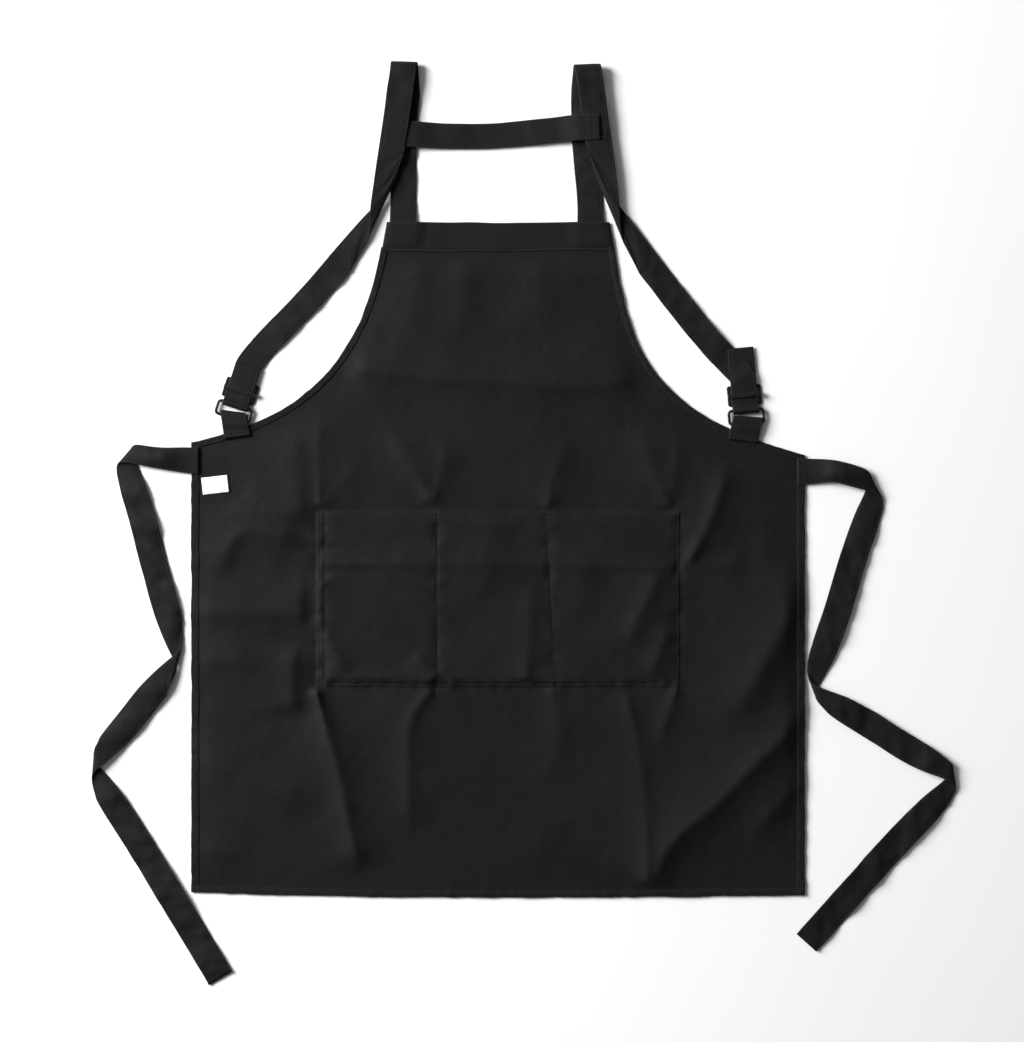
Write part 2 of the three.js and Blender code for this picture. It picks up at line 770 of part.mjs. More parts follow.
function tieSeam(half) {
  const { hinge } = tieLayout(half);
  const centre = hinge.clone().add(new THREE.Vector3(-half.outward * 0.5 * tieAnchorLength, 0, 0));
  const top = sewnLayer + webbing / 2 + gap;
  return seamBox(centre, 0.5 * tieAnchorLength, tieWidth - 6, new THREE.Vector3(0, 1, 0), top);
}

function crossSeam(half) {
  const [x, y] = crossEnd(half);
  const top = topLayer + (half.crossRise ? layerStep : 0) + webbing / 2 + gap;
  const centre = fromBib(half, [x, y], 0);
  return seamBox(centre, 0.62 * strapWidth, 0.8 * strapWidth, new THREE.Vector3(0, 1, 0), top);
}

function labelSeam() {
  const inward = new THREE.Vector2(1, 0).rotateAround(new THREE.Vector2(), labelTurn);
  const down = new THREE.Vector2(inward.y, -inward.x);
  const start = labelEdge.clone().addScaledVector(inward, 1.5).addScaledVector(down, 1);
  const end = start.clone().addScaledVector(down, labelHeight - 2);
  return straightSeam(start, end, onPanel + labelThickness + gap);
}

// ---- Assembly ----

const apron = new THREE.Group();

function add(name, geometry, material) {
  const mesh = new THREE.Mesh(geometry, material);
  mesh.name = name;
  apron.add(mesh);
}

add("body_panel", bodyPanel(), clothMaterial);
add("pocket_panel", pocketPanel(), clothMaterial);
add("bib_band", bibBand(), clothMaterial);
add("cross_strap", crossStrap(), strapMaterial);
add("care_label", careLabel(), labelMaterial);
for (const [side, half] of Object.entries(halves)) {
  add(`shoulder_strap_${side}`, shoulderStrap(half), strapMaterial);
  add(`tie_anchor_${side}`, tieAnchor(half), strapMaterial);
  add(`waist_tie_${side}`, waistTie(half), strapMaterial);
  add(`ring_tab_${side}`, ringTab(half), strapMaterial);
  add(`ring_${side}`, ring(half), hardwareMaterial);
  add(`slider_${side}`, slider(half), hardwareMaterial);
  add(`seam_side_${side}`, sideSeam(half), threadMaterial);
  add(`seam_armhole_${side}`, armholeSeam(half), threadMaterial);
  add(`seam_tab_${side}`, tabSeam(half), threadMaterial);
  add(`seam_tie_${side}`, tieSeam(half), threadMaterial);
  add(`seam_cross_${side}`, crossSeam(half), threadMaterial);
}
add("seam_bottom", bottomSeam(), threadMaterial);
add("seam_band", bandSeam(), threadMaterial);
add("seam_pocket", pocketSeam(), threadMaterial);
add("seam_divider_left", dividerSeam(dividerLeftX), threadMaterial);
add("seam_divider_right", dividerSeam(dividerRightX), threadMaterial);
add("seam_label", labelSeam(), threadMaterial);

export default apron;
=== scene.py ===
"""A bib apron with two long back straps, lying flat with its inside up. Sizes are in millimetres until a
piece is made; every piece is then in metres, in the model's own frame."""

import json
import math

import bmesh
import bpy
import numpy as np
from mathutils import Matrix, Vector


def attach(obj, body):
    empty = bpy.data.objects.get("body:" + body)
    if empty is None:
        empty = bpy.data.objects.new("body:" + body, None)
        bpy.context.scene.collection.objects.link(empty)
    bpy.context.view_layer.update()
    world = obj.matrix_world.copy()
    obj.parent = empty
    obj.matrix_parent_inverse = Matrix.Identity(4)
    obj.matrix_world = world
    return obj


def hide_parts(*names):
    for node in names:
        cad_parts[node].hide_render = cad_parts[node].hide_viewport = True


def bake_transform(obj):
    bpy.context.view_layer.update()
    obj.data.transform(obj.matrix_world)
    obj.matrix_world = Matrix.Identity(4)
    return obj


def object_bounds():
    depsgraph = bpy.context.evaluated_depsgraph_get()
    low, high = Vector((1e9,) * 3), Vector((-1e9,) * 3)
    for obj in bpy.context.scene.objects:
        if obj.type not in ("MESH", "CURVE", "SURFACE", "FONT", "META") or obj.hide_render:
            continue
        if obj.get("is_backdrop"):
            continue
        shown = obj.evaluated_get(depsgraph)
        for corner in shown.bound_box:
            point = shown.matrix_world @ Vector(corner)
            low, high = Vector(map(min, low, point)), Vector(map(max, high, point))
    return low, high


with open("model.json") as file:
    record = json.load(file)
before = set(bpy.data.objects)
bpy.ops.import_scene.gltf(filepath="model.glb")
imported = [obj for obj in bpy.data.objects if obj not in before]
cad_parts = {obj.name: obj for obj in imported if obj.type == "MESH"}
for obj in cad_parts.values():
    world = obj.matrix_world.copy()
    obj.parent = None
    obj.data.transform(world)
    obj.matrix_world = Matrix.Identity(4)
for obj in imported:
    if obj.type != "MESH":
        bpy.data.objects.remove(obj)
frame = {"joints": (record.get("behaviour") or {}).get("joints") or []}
cad_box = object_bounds()
joints = {joint["name"]: joint for joint in frame["joints"]}
bpy.ops.object.select_all(action="DESELECT")
scene = bpy.context.scene

MM = 0.001

# ---- Sizes of the cut and of the layers ----

BIB_TOP = 433.6
BIB_HALF = 129.5
BODY_HALF = 353.0
HEM_FOOT = -341.0
UNDERARM = {"left": 180.5, "right": 165.6}
SIDE_HEM = 9.0
BOTTOM_HEM = 8.5
ARMHOLE_HEM = 7.5
BAND_HEIGHT = 33.0
POCKET_HALF = 208.0
POCKET_RISE = 100.0
STRAP_WIDTH = 30.0
STRAP_THICK = 1.4
TIE_WIDTH = 31.0
RING_SPACING = 15.6
STRAP_FEET = {"left": 109.3, "right": 106.4}

# A strap's rows of stitches: how far in from its edge, and how far out from its middle.
TOPSTITCH = 2.4
ROW_SEAT = 0.6

# Heights above the floor, unless said: the panel's upper face, its thickness, its hems above that face, and
# the lowest and highest places of the straps' and ties' middles.
PANEL_TOP = 1.5
PANEL_THICK = 0.7
HEM_TOP = 0.95
STRAP_FLOOR = 0.72
STRAP_TOP = 9.7
TIE_TOP = 6.2
SEWN = PANEL_TOP + HEM_TOP + 0.15 + STRAP_THICK / 2

SIDES = {"left": -1, "right": 1}
UP = np.array([0.0, 0.0, 1.0])


# ---- Curves and relief ----


def ease(share):
    share = np.clip(share, 0, 1)
    return share * share * (3 - 2 * share)


def hump(off, width):
    """A smooth swelling: 1 in its middle, and about a third at one width from there."""
    return np.exp(-((off / width) ** 2))


def units(rows):
    return rows / np.linalg.norm(rows, axis=1)[:, None]


def resampled(at, places, values):
    """Each column of values, read at other places along the way."""
    return np.column_stack([np.interp(at, places, column) for column in values.T])


def ripple(x, y, size, seed):
    """Smooth random relief between -1 and 1, with swells of about one size."""
    table = np.random.default_rng(seed).uniform(-1, 1, (71, 71))
    u, v = np.asarray(x) / size + 500.0, np.asarray(y) / size + 500.0
    i, j = np.floor(u).astype(int), np.floor(v).astype(int)
    s, t = ease(u - i), ease(v - j)
    corner = lambda a, b: table[(i + a) % 71, (j + b) % 71]
    low = corner(0, 0) * (1 - s) + corner(1, 0) * s
    high = corner(0, 1) * (1 - s) + corner(1, 1) * s
    return low * (1 - t) + high * t


def swells(x, y, size, seed):
    """Three sizes of relief at two angles, so that no grid shows."""
    turned_x, turned_y = 0.8 * x - 0.6 * y, 0.6 * x + 0.8 * y
    return (
        0.6 * ripple(x, y, size, seed)
        + 0.3 * ripple(turned_x, turned_y, size * 0.53, seed + 1)
        + 0.15 * ripple(y, x, size * 0.27, seed + 2)
    )


def through(points, spacing):
    """A smooth line through points, in steps of about one spacing, and each step's span and share of it."""
    points = [np.asarray(p, float) for p in points]
    ends = [2 * points[0] - points[1]] + points + [2 * points[-1] - points[-2]]
    line, shares = [], []
    spans = len(points) - 1
    for k in range(spans):
        p0, p1, p2, p3 = ends[k : k + 4]
        pairs = ((p0, p1), (p1, p2), (p2, p3))
        d0, d1, d2 = (max(np.linalg.norm(b - a), 1e-6) ** 0.5 for a, b in pairs)
        slope_in = ((p1 - p0) / d0 - (p2 - p0) / (d0 + d1) + (p2 - p1) / d1) * d1
        slope_out = ((p2 - p1) / d1 - (p3 - p1) / (d1 + d2) + (p3 - p2) / d2) * d1
        steps = max(2, math.ceil(np.linalg.norm(p2 - p1) / spacing))
        for i in range(0 if k == 0 else 1, steps + 1):
            t = i / steps
            line.append(
                p1
                + slope_in * t
                + (3 * (p2 - p1) - 2 * slope_in - slope_out) * t**2
                + (2 * (p1 - p2) + slope_in + slope_out) * t**3
            )
            shares.append((k, t))
    return np.array(line), shares


def bezier(p0, p1, p2, p3, count):
    t = np.linspace(0, 1, count)[:, None]
    p0, p1, p2, p3 = (np.array(p, float) for p in (p0, p1, p2, p3))
    return p0 * (1 - t) ** 3 + 3 * p1 * t * (1 - t) ** 2 + 3 * p2 * t**2 * (1 - t) + p3 * t**3


def lengths(line):
    return np.concatenate([[0], np.cumsum(np.linalg.norm(np.diff(line, axis=0), axis=1))])


# The armhole edges run from the bib's corners down to the underarm corners.
ARMHOLES = {
    "left": bezier((-BIB_HALF, BIB_TOP), (-146.5, 316.6), (-184, 214.5), (-BODY_HALF, UNDERARM["left"]), 120),
    "right": bezier((BIB_HALF, BIB_TOP), (149, 307.6), (153, 217.6), (BODY_HALF, UNDERARM["right"]), 120),
}


def from_line(x, y, line):
    """Distance to a line, positive on its left, and how far along it the nearest place is."""
    best = np.full(np.shape(x), 1e9)
    signed = np.zeros(np.shape(x))
    place = np.zeros(np.shape(x))
    travelled = lengths(line)
    for k in range(len(line) - 1):
        (ax, ay), (bx, by) = line[k][:2], line[k + 1][:2]
        dx, dy = bx - ax, by - ay
        length = math.hypot(dx, dy)
        t = np.clip(((x - ax) * dx + (y - ay) * dy) / length**2, 0, 1)
        off = np.hypot(x - ax - t * dx, y - ay - t * dy)
        nearer = off < best
        on_left = dx * (y - ay) - dy * (x - ax) >= 0
        best = np.where(nearer, off, best)
        signed = np.where(nearer, np.where(on_left, off, -off), signed)
        place = np.where(nearer, travelled[k] + t * length, place)
    return signed, place


def foot(x):
    """The bottom edge hangs a little lower at its middle."""
    share = x / BODY_HALF
    return HEM_FOOT - 2.4 + 6.0 * np.minimum(share, 0) ** 2 + 2.6 * np.maximum(share, 0) ** 2


def from_edge(x, y):
    """How far in from the panel's nearest hemmed edge a place is, and where along that edge."""
    distance, place = BODY_HALF - np.abs(x), y + 2000 * (x > 0)
    bottom = y - foot(x)
    place = np.where(bottom < distance, x + 5000, place)
    distance = np.minimum(bottom, distance)
    for side, outward in SIDES.items():
        off, along = from_line(x, y, ARMHOLES[side])
        off = -outward * off
        place = np.where(off < distance, along + 7000 + 1000 * outward, place)
        distance = np.minimum(off, distance)
    return distance, place


# ---- Folds of the panel ----

# Each fold: the places its crest runs through, its height, the width of its slope towards the light and of
# the one behind it, how soft its crest is, and how much of its length fades at each end.
FOLD_GAIN = 1.6
FOLD_SOFTNESS = 1.2
FOLDS = [
    ([(-184, 268), (-84, 256), (-15, 252), (62, 247), (173, 252)], 2.9, (34, 15), 4, (0.1, 0.12)),
    ([(-207, -91), (-140, -91), (-60, -92), (60, -93), (206, -93)], 1.1, (15.6, 4.5), 1.3, (0.04, 0.3)),
    ([(-35, 396), (-42, 340), (-52, 285)], 1.5, (20.8, 20.8), 7.8, (0.05, 0.4)),
    ([(-92, 392), (-96, 340), (-112, 290)], 1, (18.2, 18.2), 7.8, (0.05, 0.4)),
    ([(44, 396), (52, 350), (50, 300)], 0.9, (18.2, 20.8), 7.8, (0.05, 0.4)),
    ([(-145, 212), (-110, 172), (-75, 108)], 2.1, (15.6, 15.6), 3.9, (0.5, 0.08)),
    ([(-57, 198), (-65, 146), (-74, 106)], 1.6, (13, 20), 3, (0.4, 0.06)),
    ([(84, 186), (66, 148), (56, 102)], 1.6, (13, 18), 3, (0.4, 0.06)),
    ([(20, 168), (40, 135), (55, 103)], 0.7, (14, 14), 4.5, (0.5, 0.1)),
    ([(-206, 228), (-206, 165), (-205, 104)], 1.2, (10, 13), 3, (0.4, 0.04)),
    ([(-150, 168), (-178, 135), (-203, 104)], 0.7, (12, 11), 3, (0.4, 0.08)),
    ([(-236, 204), (-231, 146), (-228, 82)], 2, (26, 15), 6, (0.3, 0.2)),
    ([(161, 206), (176, 154), (199, 104)], 1.7, (14, 14), 4.5, (0.3, 0.08)),
    ([(207, 192), (204, 150), (201, 116)], 1.1, (10, 13), 3, (0.3, 0.15)),
    ([(268, 164), (241, 84), (217, 40)], 2.9, (13, 13), 2.6, (0.3, 0.08)),
    ([(208, 40), (250, 39), (294, 36)], 1.1, (14, 8), 3, (0.04, 0.3)),
    ([(-209, 41), (-78, 41), (60, 39), (207, 37)], 1, (11.7, 6.5), 2, (0.02, 0.02)),
    (
        [(352, 66), (340, -4), (320, -48), (299, -84), (278, -120), (250, -168)],
        5.4,
        (29.9, 22.1),
        6.5,
        (0.3, 0.4),
    ),
    (
        [(374, -96), (340, -144), (293, -192), (242, -243), (200, -279), (168, -346)],
        5.4,
        (28, 19),
        3,
        (0.1, 0.12),
    ),
    ([(366, -190), (316, -242), (280, -290)], 2.6, (18.2, 13), 5.2, (0.15, 0.5)),
    ([(-374, -12), (-280, -14), (-212, -15)], 3.2, (28.6, 14.3), 5.2, (0.12, 0.12)),
    ([(-321, 20), (-314, 52), (-296, 76), (-262, 76), (-224, 66)], 2.5, (19.5, 11.7), 3.9, (0.25, 0.2)),
    ([(-233, 59), (-200, 59), (-174, 59)], -1.3, (2.6, 2.6), 0.6, (0.3, 0.3)),
    ([(-232, -48), (-238, -94), (-232, -137)], 3, (28.6, 10.4), 3.9, (0.25, 0.25)),
    ([(-210, -102), (-196, -154), (-183, -199), (-171, -259), (-158, -318)], 3.9, (15, 16), 2, (0.02, 0.15)),
    ([(-372, -170), (-291, -205), (-246, -223), (-200, -250)], 2.7, (23.4, 18.2), 6.5, (0.12, 0.35)),
    ([(-370, -67), (-300, -72), (-254, -85)], 2.1, (18.2, 13), 5.2, (0.12, 0.45)),
    ([(-370, -289), (-310, -292), (-264, -302)], 1.7, (15.6, 13), 5.2, (0.12, 0.5)),
    ([(-202, 34), (-202, -34), (-190, -56), (-174, -92)], 1.6, (10.4, 10.4), 2.6, (0.1, 0.15)),
    ([(38, 22), (35, -47), (32, -95)], 1.7, (16.9, 11.7), 3.9, (0.3, 0.04)),
    ([(189, 40), (168, -7), (144, -63)], 2.4, (13, 13), 3.9, (0.2, 0.3)),
    ([(197, -28), (186, -58), (174, -89)], 1.9, (10.4, 10.4), 2.6, (0.2, 0.25)),
    ([(-100, -62), (-86, -78), (-72, -94)], 1.3, (9.1, 9.1), 2.6, (0.3, 0.1)),
    ([(-76, -102), (-100, -139), (-103, -210), (-101, -290)], 1.7, (11.7, 10.4), 2.6, (0.02, 0.35)),
    ([(62, -102), (70, -150), (66, -220)], 1.1, (15.6, 13), 5.2, (0.02, 0.5)),
    ([(206, -101), (193, -140), (182, -180)], 1.7, (11.7, 11.7), 2.6, (0.04, 0.5)),
    ([(146, -103), (163, -180), (170, -250), (171, -330)], 1.6, (16.9, 10.4), 2.6, (0.08, 0.02)),
    ([(-8, 96), (-14, 40), (-22, -20)], 1, (20.8, 18.2), 7.8, (0.1, 0.4)),
    ([(110, 60), (96, 10), (90, -40)], 1, (18.2, 15.6), 6.5, (0.3, 0.4)),
]


def crease(x, y, course, height, widths, softness, fade):
    line, _ = through(course, 14)
    off, place = from_line(x, y, line)
    share = place / lengths(line)[-1]
    whole = line[-1] - line[0]
    lit_on_left = 0.84 * whole[1] + 0.54 * whole[0] > 0
    width = np.where((off > 0) == lit_on_left, widths[0], widths[1])
    for reach, end in ((share, fade[0]), (1 - share, fade[1])):
        if end < 0.1:
            width = width * (0.3 + 0.7 * ease(reach / 0.4))
    softness = FOLD_SOFTNESS * softness
    profile = np.exp(-(np.sqrt(off**2 + softness**2) - softness) / width)
    return FOLD_GAIN * height * profile * ease(share / fade[0]) * ease((1 - share) / fade[1])


# Stitch lines through the panel and the pocket under it.
POCKET_LINES = [
    [(-206, 99), (-206.4, 0), (-206, -99)],
    [(-199, 99), (-199, -96)],
    [(206, 99), (206.3, 0), (206, -99)],
    [(-206, -98), (-80, -98.6), (60, -98), (206, -98)],
    [(-69.6, 99), (-70, 0), (-69, -98)],
    [(56.4, 99), (61, 0), (66.7, -98)],
]


def pocket_relief(x, y):
    """The pocket's thickness, felt through the panel, and the grooves where thread pulls the two together."""
    beside, above = POCKET_HALF - np.abs(x), POCKET_RISE - np.abs(y)
    inside = ease(beside / 1.6 + 0.5) * ease(above / 1.6 + 0.5)
    mouth = ease(1 - np.abs(y - (POCKET_RISE - 11)) / 12)
    height = 1.1 * inside + 0.4 * inside * mouth
    for k, line in enumerate(POCKET_LINES):
        off, place = from_line(x, y, np.array(line, float))
        height -= 0.35 * hump(off, 1.2) + 0.6 * hump(off, 6)
        height += 1.7 * hump(off, 7) * swells(place, off * 0.5, 9, 300 + 7 * k)
    return height


def panel_height(x, y):
    """Height of the panel's upper face."""
    x, y = np.asarray(x, float), np.asarray(y, float)
    distance, place = from_edge(x, y)
    inner = ease(distance / 55)
    calm = 1 - ease((y - 372) / 24)
    label = ease((np.hypot((x + 326) / 1.3, y - 131) - 18) / 22)
    height = 1.5 * inner + pocket_relief(x, y)
    near_hem = 0.3 + 0.7 * ease(distance / 26)
    for fold in FOLDS:
        height = height + near_hem * crease(x, y, *fold)
    height = height + 1.6 * inner * swells(x, y, 110, 11) + 0.8 * inner * swells(x, y, 44, 21)
    height = height + 0.2 * swells(x, y, 16, 31)
    pull = hump(distance, 13)
    height = height + 0.42 * pull * swells(place, distance * 0.35, 8.5, 41)
    height = np.logaddexp(0, (height * calm * label + 0.25) / 0.3) * 0.3
    return PANEL_TOP + height - 0.3


# ---- Finishes ----


def finish(name):
    """A new material, its node tree and the tree's shader."""
    material = bpy.data.materials.new(name)
    material.use_nodes = True
    tree = material.node_tree
    return material, tree, tree.nodes["Principled BSDF"]


def mixed(tree, factor, first, second):
    """A colour between two, by a factor. Each of the two is a colour or a socket."""
    mix = tree.nodes.new("ShaderNodeMix")
    mix.data_type = "RGBA"
    tree.links.new(factor, mix.inputs[0])
    for socket, value in ((mix.inputs[6], first), (mix.inputs[7], second)):
        if isinstance(value, tuple):
            socket.default_value = (*value, 1)
        else:
            tree.links.new(value, socket)
    return mix.outputs[2]


def ranged(tree, value, low, high, to_low=0.0, to_high=1.0):
    span = tree.nodes.new("ShaderNodeMapRange")
    tree.links.new(value, span.inputs["Value"])
    limits = {"From Min": low, "From Max": high, "To Min": to_low, "To Max": to_high}
    for key, number in limits.items():
        span.inputs[key].default_value = number
    return span.outputs["Result"]


def added(tree, first, second, share):
    total = tree.nodes.new("ShaderNodeMath")
    total.operation = "MULTIPLY_ADD"
    tree.links.new(second, total.inputs[0])
    total.inputs[1].default_value = share
    tree.links.new(first, total.inputs[2])
    return total.outputs[0]


# A wave texture at this scale has one band in each metre.
ONE_BAND = 0.314159


def threads(tree, size, turn=0.0, distortion=0.0, detail_scale=1.0):
    """Threads side by side on the cloth, so many millimetres apart and turned by so many degrees."""
    source = tree.nodes.new("ShaderNodeUVMap")
    source.uv_map = "cloth"
    mapping = tree.nodes.new("ShaderNodeMapping")
    mapping.inputs["Rotation"].default_value = (0, 0, math.radians(turn))
    tree.links.new(source.outputs["UV"], mapping.inputs["Vector"])
    wave = tree.nodes.new("ShaderNodeTexWave")
    wave.inputs["Scale"].default_value = ONE_BAND / (size * MM)
    wave.inputs["Distortion"].default_value = distortion
    wave.inputs["Detail Scale"].default_value = detail_scale
    tree.links.new(mapping.outputs["Vector"], wave.inputs["Vector"])
    return wave.outputs["Fac"]


def weave(tree, rib, turn):
    """The ribs of a twill, and the threads that cross them, as one height from 0 to about 1."""
    ribs = threads(tree, rib, turn, 0.9, 1.6)
    crossing = threads(tree, rib * 0.55, turn + 68, 0.9, 1.6)
    return added(tree, ribs, crossing, 0.45)


def noise(tree, source, scale, detail, roughness=0.55):
    made = tree.nodes.new("ShaderNodeTexNoise")
    made.inputs["Scale"].default_value = scale
    made.inputs["Detail"].default_value = detail
    made.inputs["Roughness"].default_value = roughness
    tree.links.new(source, made.inputs["Vector"])
    return made.outputs["Fac"]


def relief(tree, height, distance, strength, below=None):
    bump = tree.nodes.new("ShaderNodeBump")
    bump.inputs["Distance"].default_value = distance
    bump.inputs["Strength"].default_value = strength
    tree.links.new(height, bump.inputs["Height"])
    if below:
        tree.links.new(below, bump.inputs["Normal"])
    return bump.outputs["Normal"]


def twill(name, deep, pale, rib, turn, crumple):
    """Cotton twill: diagonal ribs with painted shade in the grooves between them, cloudy dye, a pale bloom
    that is real wear on rubbed edges and a painted highlight on raised fold crests, and a few specks of lint.
    """
    material, tree, shader = finish(name)
    place = tree.nodes.new("ShaderNodeTexCoord").outputs["Object"]
    ribs = weave(tree, rib, turn)
    cloud = noise(tree, place, 11, 5, 0.6)
    blotch = noise(tree, place, 95, 4, 0.6)
    speck = noise(tree, place, 720, 1, 0.3)
    wear = tree.nodes.new("ShaderNodeAttribute")
    wear.attribute_name = "wear"
    dye = mixed(tree, ranged(tree, cloud, 0.3, 0.72), deep, pale)
    lifted = tuple(1.5 * c for c in pale)
    # Low places between the ribs are painted darker: painted shade in the grooves of the weave, over its
    # bump.
    rib_groove_shade = tuple(0.72 * c for c in deep)
    mottled = mixed(tree, ranged(tree, blotch, 0.35, 0.7, 0, 0.4), dye, lifted)
    rib_shaded = mixed(tree, ranged(tree, ribs, 0.1, 0.8, 0.45, 0), mottled, rib_groove_shade)
    # Paler where the wear attribute is set: real wear on rubbed edges, and a painted highlight on the panel's
    # raised fold crests.
    rubbed_and_highlit = tuple(1.9 * c + 0.002 for c in pale)
    worn_and_highlit = mixed(tree, ranged(tree, wear.outputs["Fac"], 0, 1, 0, 0.6), rib_shaded, rubbed_and_highlit)
    specks = ranged(tree, speck, 0.845, 0.88, 0, 0.5)
    lint = mixed(tree, specks, worn_and_highlit, (0.16, 0.16, 0.17))
    tree.links.new(lint, shader.inputs["Base Color"])
    tree.links.new(ranged(tree, blotch, 0.3, 0.7, 0.62, 0.78), shader.inputs["Roughness"])
    shader.inputs["Specular IOR Level"].default_value = 0.155
    shader.inputs["Sheen Weight"].default_value = 0.02
    shader.inputs["Sheen Roughness"].default_value = 0.45
    soft = relief(tree, blotch, 0.0009 * crumple, 0.5)
    tree.links.new(relief(tree, ribs, 0.00012, 0.55, soft), shader.inputs["Normal"])
    return material


def sewing_thread(name, deep, pale):
    """Spun thread: two plies that wind round each other, painted paler on their crowns and darker between
    them, which is painted highlight and painted shade.
    """
    material, tree, shader = finish(name)
    plies = threads(tree, 0.45, 32)
    tree.links.new(mixed(tree, plies, deep, pale), shader.inputs["Base Color"])
    shader.inputs["Roughness"].default_value = 0.62
    shader.inputs["Specular IOR Level"].default_value = 0.35
    tree.links.new(relief(tree, plies, 0.00008, 0.6), shader.inputs["Normal"])
    return material


def label_satin(name):
    """White satin ribbon: close fine threads, faintly shaded, with a soft shine."""
    material, tree, shader = finish(name)
    place = tree.nodes.new("ShaderNodeTexCoord").outputs["Object"]
    ribbon = threads(tree, 0.4, distortion=0.6)
    shade = ranged(tree, noise(tree, place, 160, 3), 0.3, 0.7)
    base = mixed(tree, shade, (0.80, 0.80, 0.79), (0.9, 0.9, 0.895))
    fine = mixed(tree, ranged(tree, ribbon, 0, 1, 0, 0.16), base, (0.6, 0.6, 0.6))
    tree.links.new(fine, shader.inputs["Base Color"])
    shader.inputs["Roughness"].default_value = 0.45
    shader.inputs["Sheen Weight"].default_value = 0.15
    tree.links.new(relief(tree, ribbon, 0.00005, 0.5), shader.inputs["Normal"])
    return material


def moulded_black(name):
    """Polished black nylon: a deep gloss with faint flow marks and fine scuffs."""
    material, tree, shader = finish(name)
    place = tree.nodes.new("ShaderNodeTexCoord").outputs["Object"]
    cloud = ranged(tree, noise(tree, place, 260, 4), 0.3, 0.7)
    scuff = noise(tree, place, 1400, 3, 0.7)
    base = mixed(tree, cloud, (0.008, 0.008, 0.0085), (0.016, 0.016, 0.017))
    tree.links.new(base, shader.inputs["Base Color"])
    tree.links.new(ranged(tree, scuff, 0.35, 0.75, 0.2, 0.36), shader.inputs["Roughness"])
    shader.inputs["Specular IOR Level"].default_value = 0.26
    tree.links.new(relief(tree, scuff, 0.00004, 0.3), shader.inputs["Normal"])
    return material


deep_black = (0.0030, 0.0030, 0.0034)
panel_twill = twill("panel_twill", deep_black, (0.0055, 0.0054, 0.0063), 0.95, 63, 1.0)
strap_twill = twill("strap_twill", deep_black, (0.0063, 0.0062, 0.0072), 0.9, 63, 0.8)
black_thread = sewing_thread("black_thread", (0.006, 0.006, 0.0065), (0.022, 0.022, 0.024))
white_satin = label_satin("white_satin")
polished_black = moulded_black("polished_black")


# ---- Making meshes ----


def piece_from(name, points, faces, material, uv=None, wear=None):
    """A mesh object at the origin, from points in millimetres. uv is in metres, one pair for each point."""
    mesh = bpy.data.meshes.new(name)
    mesh.from_pydata((np.asarray(points) * MM).tolist(), [], faces)
    mesh.validate()
    mesh.materials.append(material)
    piece = bpy.data.objects.new(name, mesh)
    scene.collection.objects.link(piece)
    corner = np.zeros(len(mesh.loops), int)
    mesh.loops.foreach_get("vertex_index", corner)
    layer = mesh.uv_layers.new(name="cloth")
    if uv is None:
        uv = np.asarray(points)[:, :2] * MM
    layer.data.foreach_set("uv", np.asarray(uv, np.float32)[corner].ravel())
    # Each point's share of the paler colour: real wear on rubbed edges, and a painted highlight on raised
    # fold crests.
    rub_and_highlight = mesh.attributes.new("wear", "FLOAT", "POINT")
    rubbed_and_highlit = np.zeros(len(points)) if wear is None else wear
    rub_and_highlight.data.foreach_set("value", rubbed_and_highlit.astype(np.float32))
    mesh.polygons.foreach_set("use_smooth", [True] * len(mesh.polygons))
    mesh.update()
    return piece


def swept(name, rings, material, uv=None, wear=None):
    """A closed solid through rings of points: rings is stations x points round the section x 3."""
    stations, around, _ = rings.shape
    index = np.arange(stations * around).reshape(stations, around)
    here, there = index[:-1], index[1:]
    beside, beyond = np.roll(here, -1, 1), np.roll(there, -1, 1)
    faces = np.stack([here, there, beyond, beside], -1).reshape(-1, 4).tolist()
    faces += [index[0].tolist(), index[-1][::-1].tolist()]
    return outward(piece_from(name, rings.reshape(-1, 3), faces, material, uv, wear))


def outward(piece):
    """Turns every face of a closed piece outwards."""
    work = bmesh.new()
    work.from_mesh(piece.data)
    bmesh.ops.recalc_face_normals(work, faces=work.faces)
    work.to_mesh(piece.data)
    work.free()
    return piece


def grid(rows, columns):
    """The numbers of a grid's points, and the corners of each of its cells."""
    index = np.arange(rows * columns).reshape(rows, columns)
    return index, np.stack([index[:-1, :-1], index[:-1, 1:], index[1:, 1:], index[1:, :-1]], -1)


def patch(name, x, y, z, thickness, material, wear=None):
    """A closed sheet over a grid of places, with a rolled rim."""
    rows, columns = x.shape
    top = np.stack([x, y, z], -1)
    low = top - np.array([0, 0, thickness])
    rim = np.zeros((rows, columns), bool)
    rim[[0, -1], :] = True
    rim[:, [0, -1]] = True
    top[rim, 2] -= 0.25 * thickness
    low[rim, 2] += 0.25 * thickness
    points = np.concatenate([top.reshape(-1, 3), low.reshape(-1, 3)])
    index, cells = grid(rows, columns)
    quads = cells.reshape(-1, 4)
    under = quads[:, ::-1] + rows * columns
    loop = np.concatenate([index[0, :], index[1:, -1], index[-1, -2::-1], index[-2:0:-1, 0]])
    after = np.roll(loop, -1)
    walls = np.stack([loop, loop + rows * columns, after + rows * columns, after], -1)
    faces = np.concatenate([quads, under, walls]).tolist()
    full = None if wear is None else np.concatenate([wear.ravel(), wear.ravel()])
    return outward(piece_from(name, points, faces, material, wear=full))


# ---- Strips that run, slope and fold ----


def level(v):
    flat = np.array([v[0], v[1], 0.0])
    return flat / np.linalg.norm(flat)


def left_of(direction):
    return np.array([-direction[1], direction[0], 0.0])


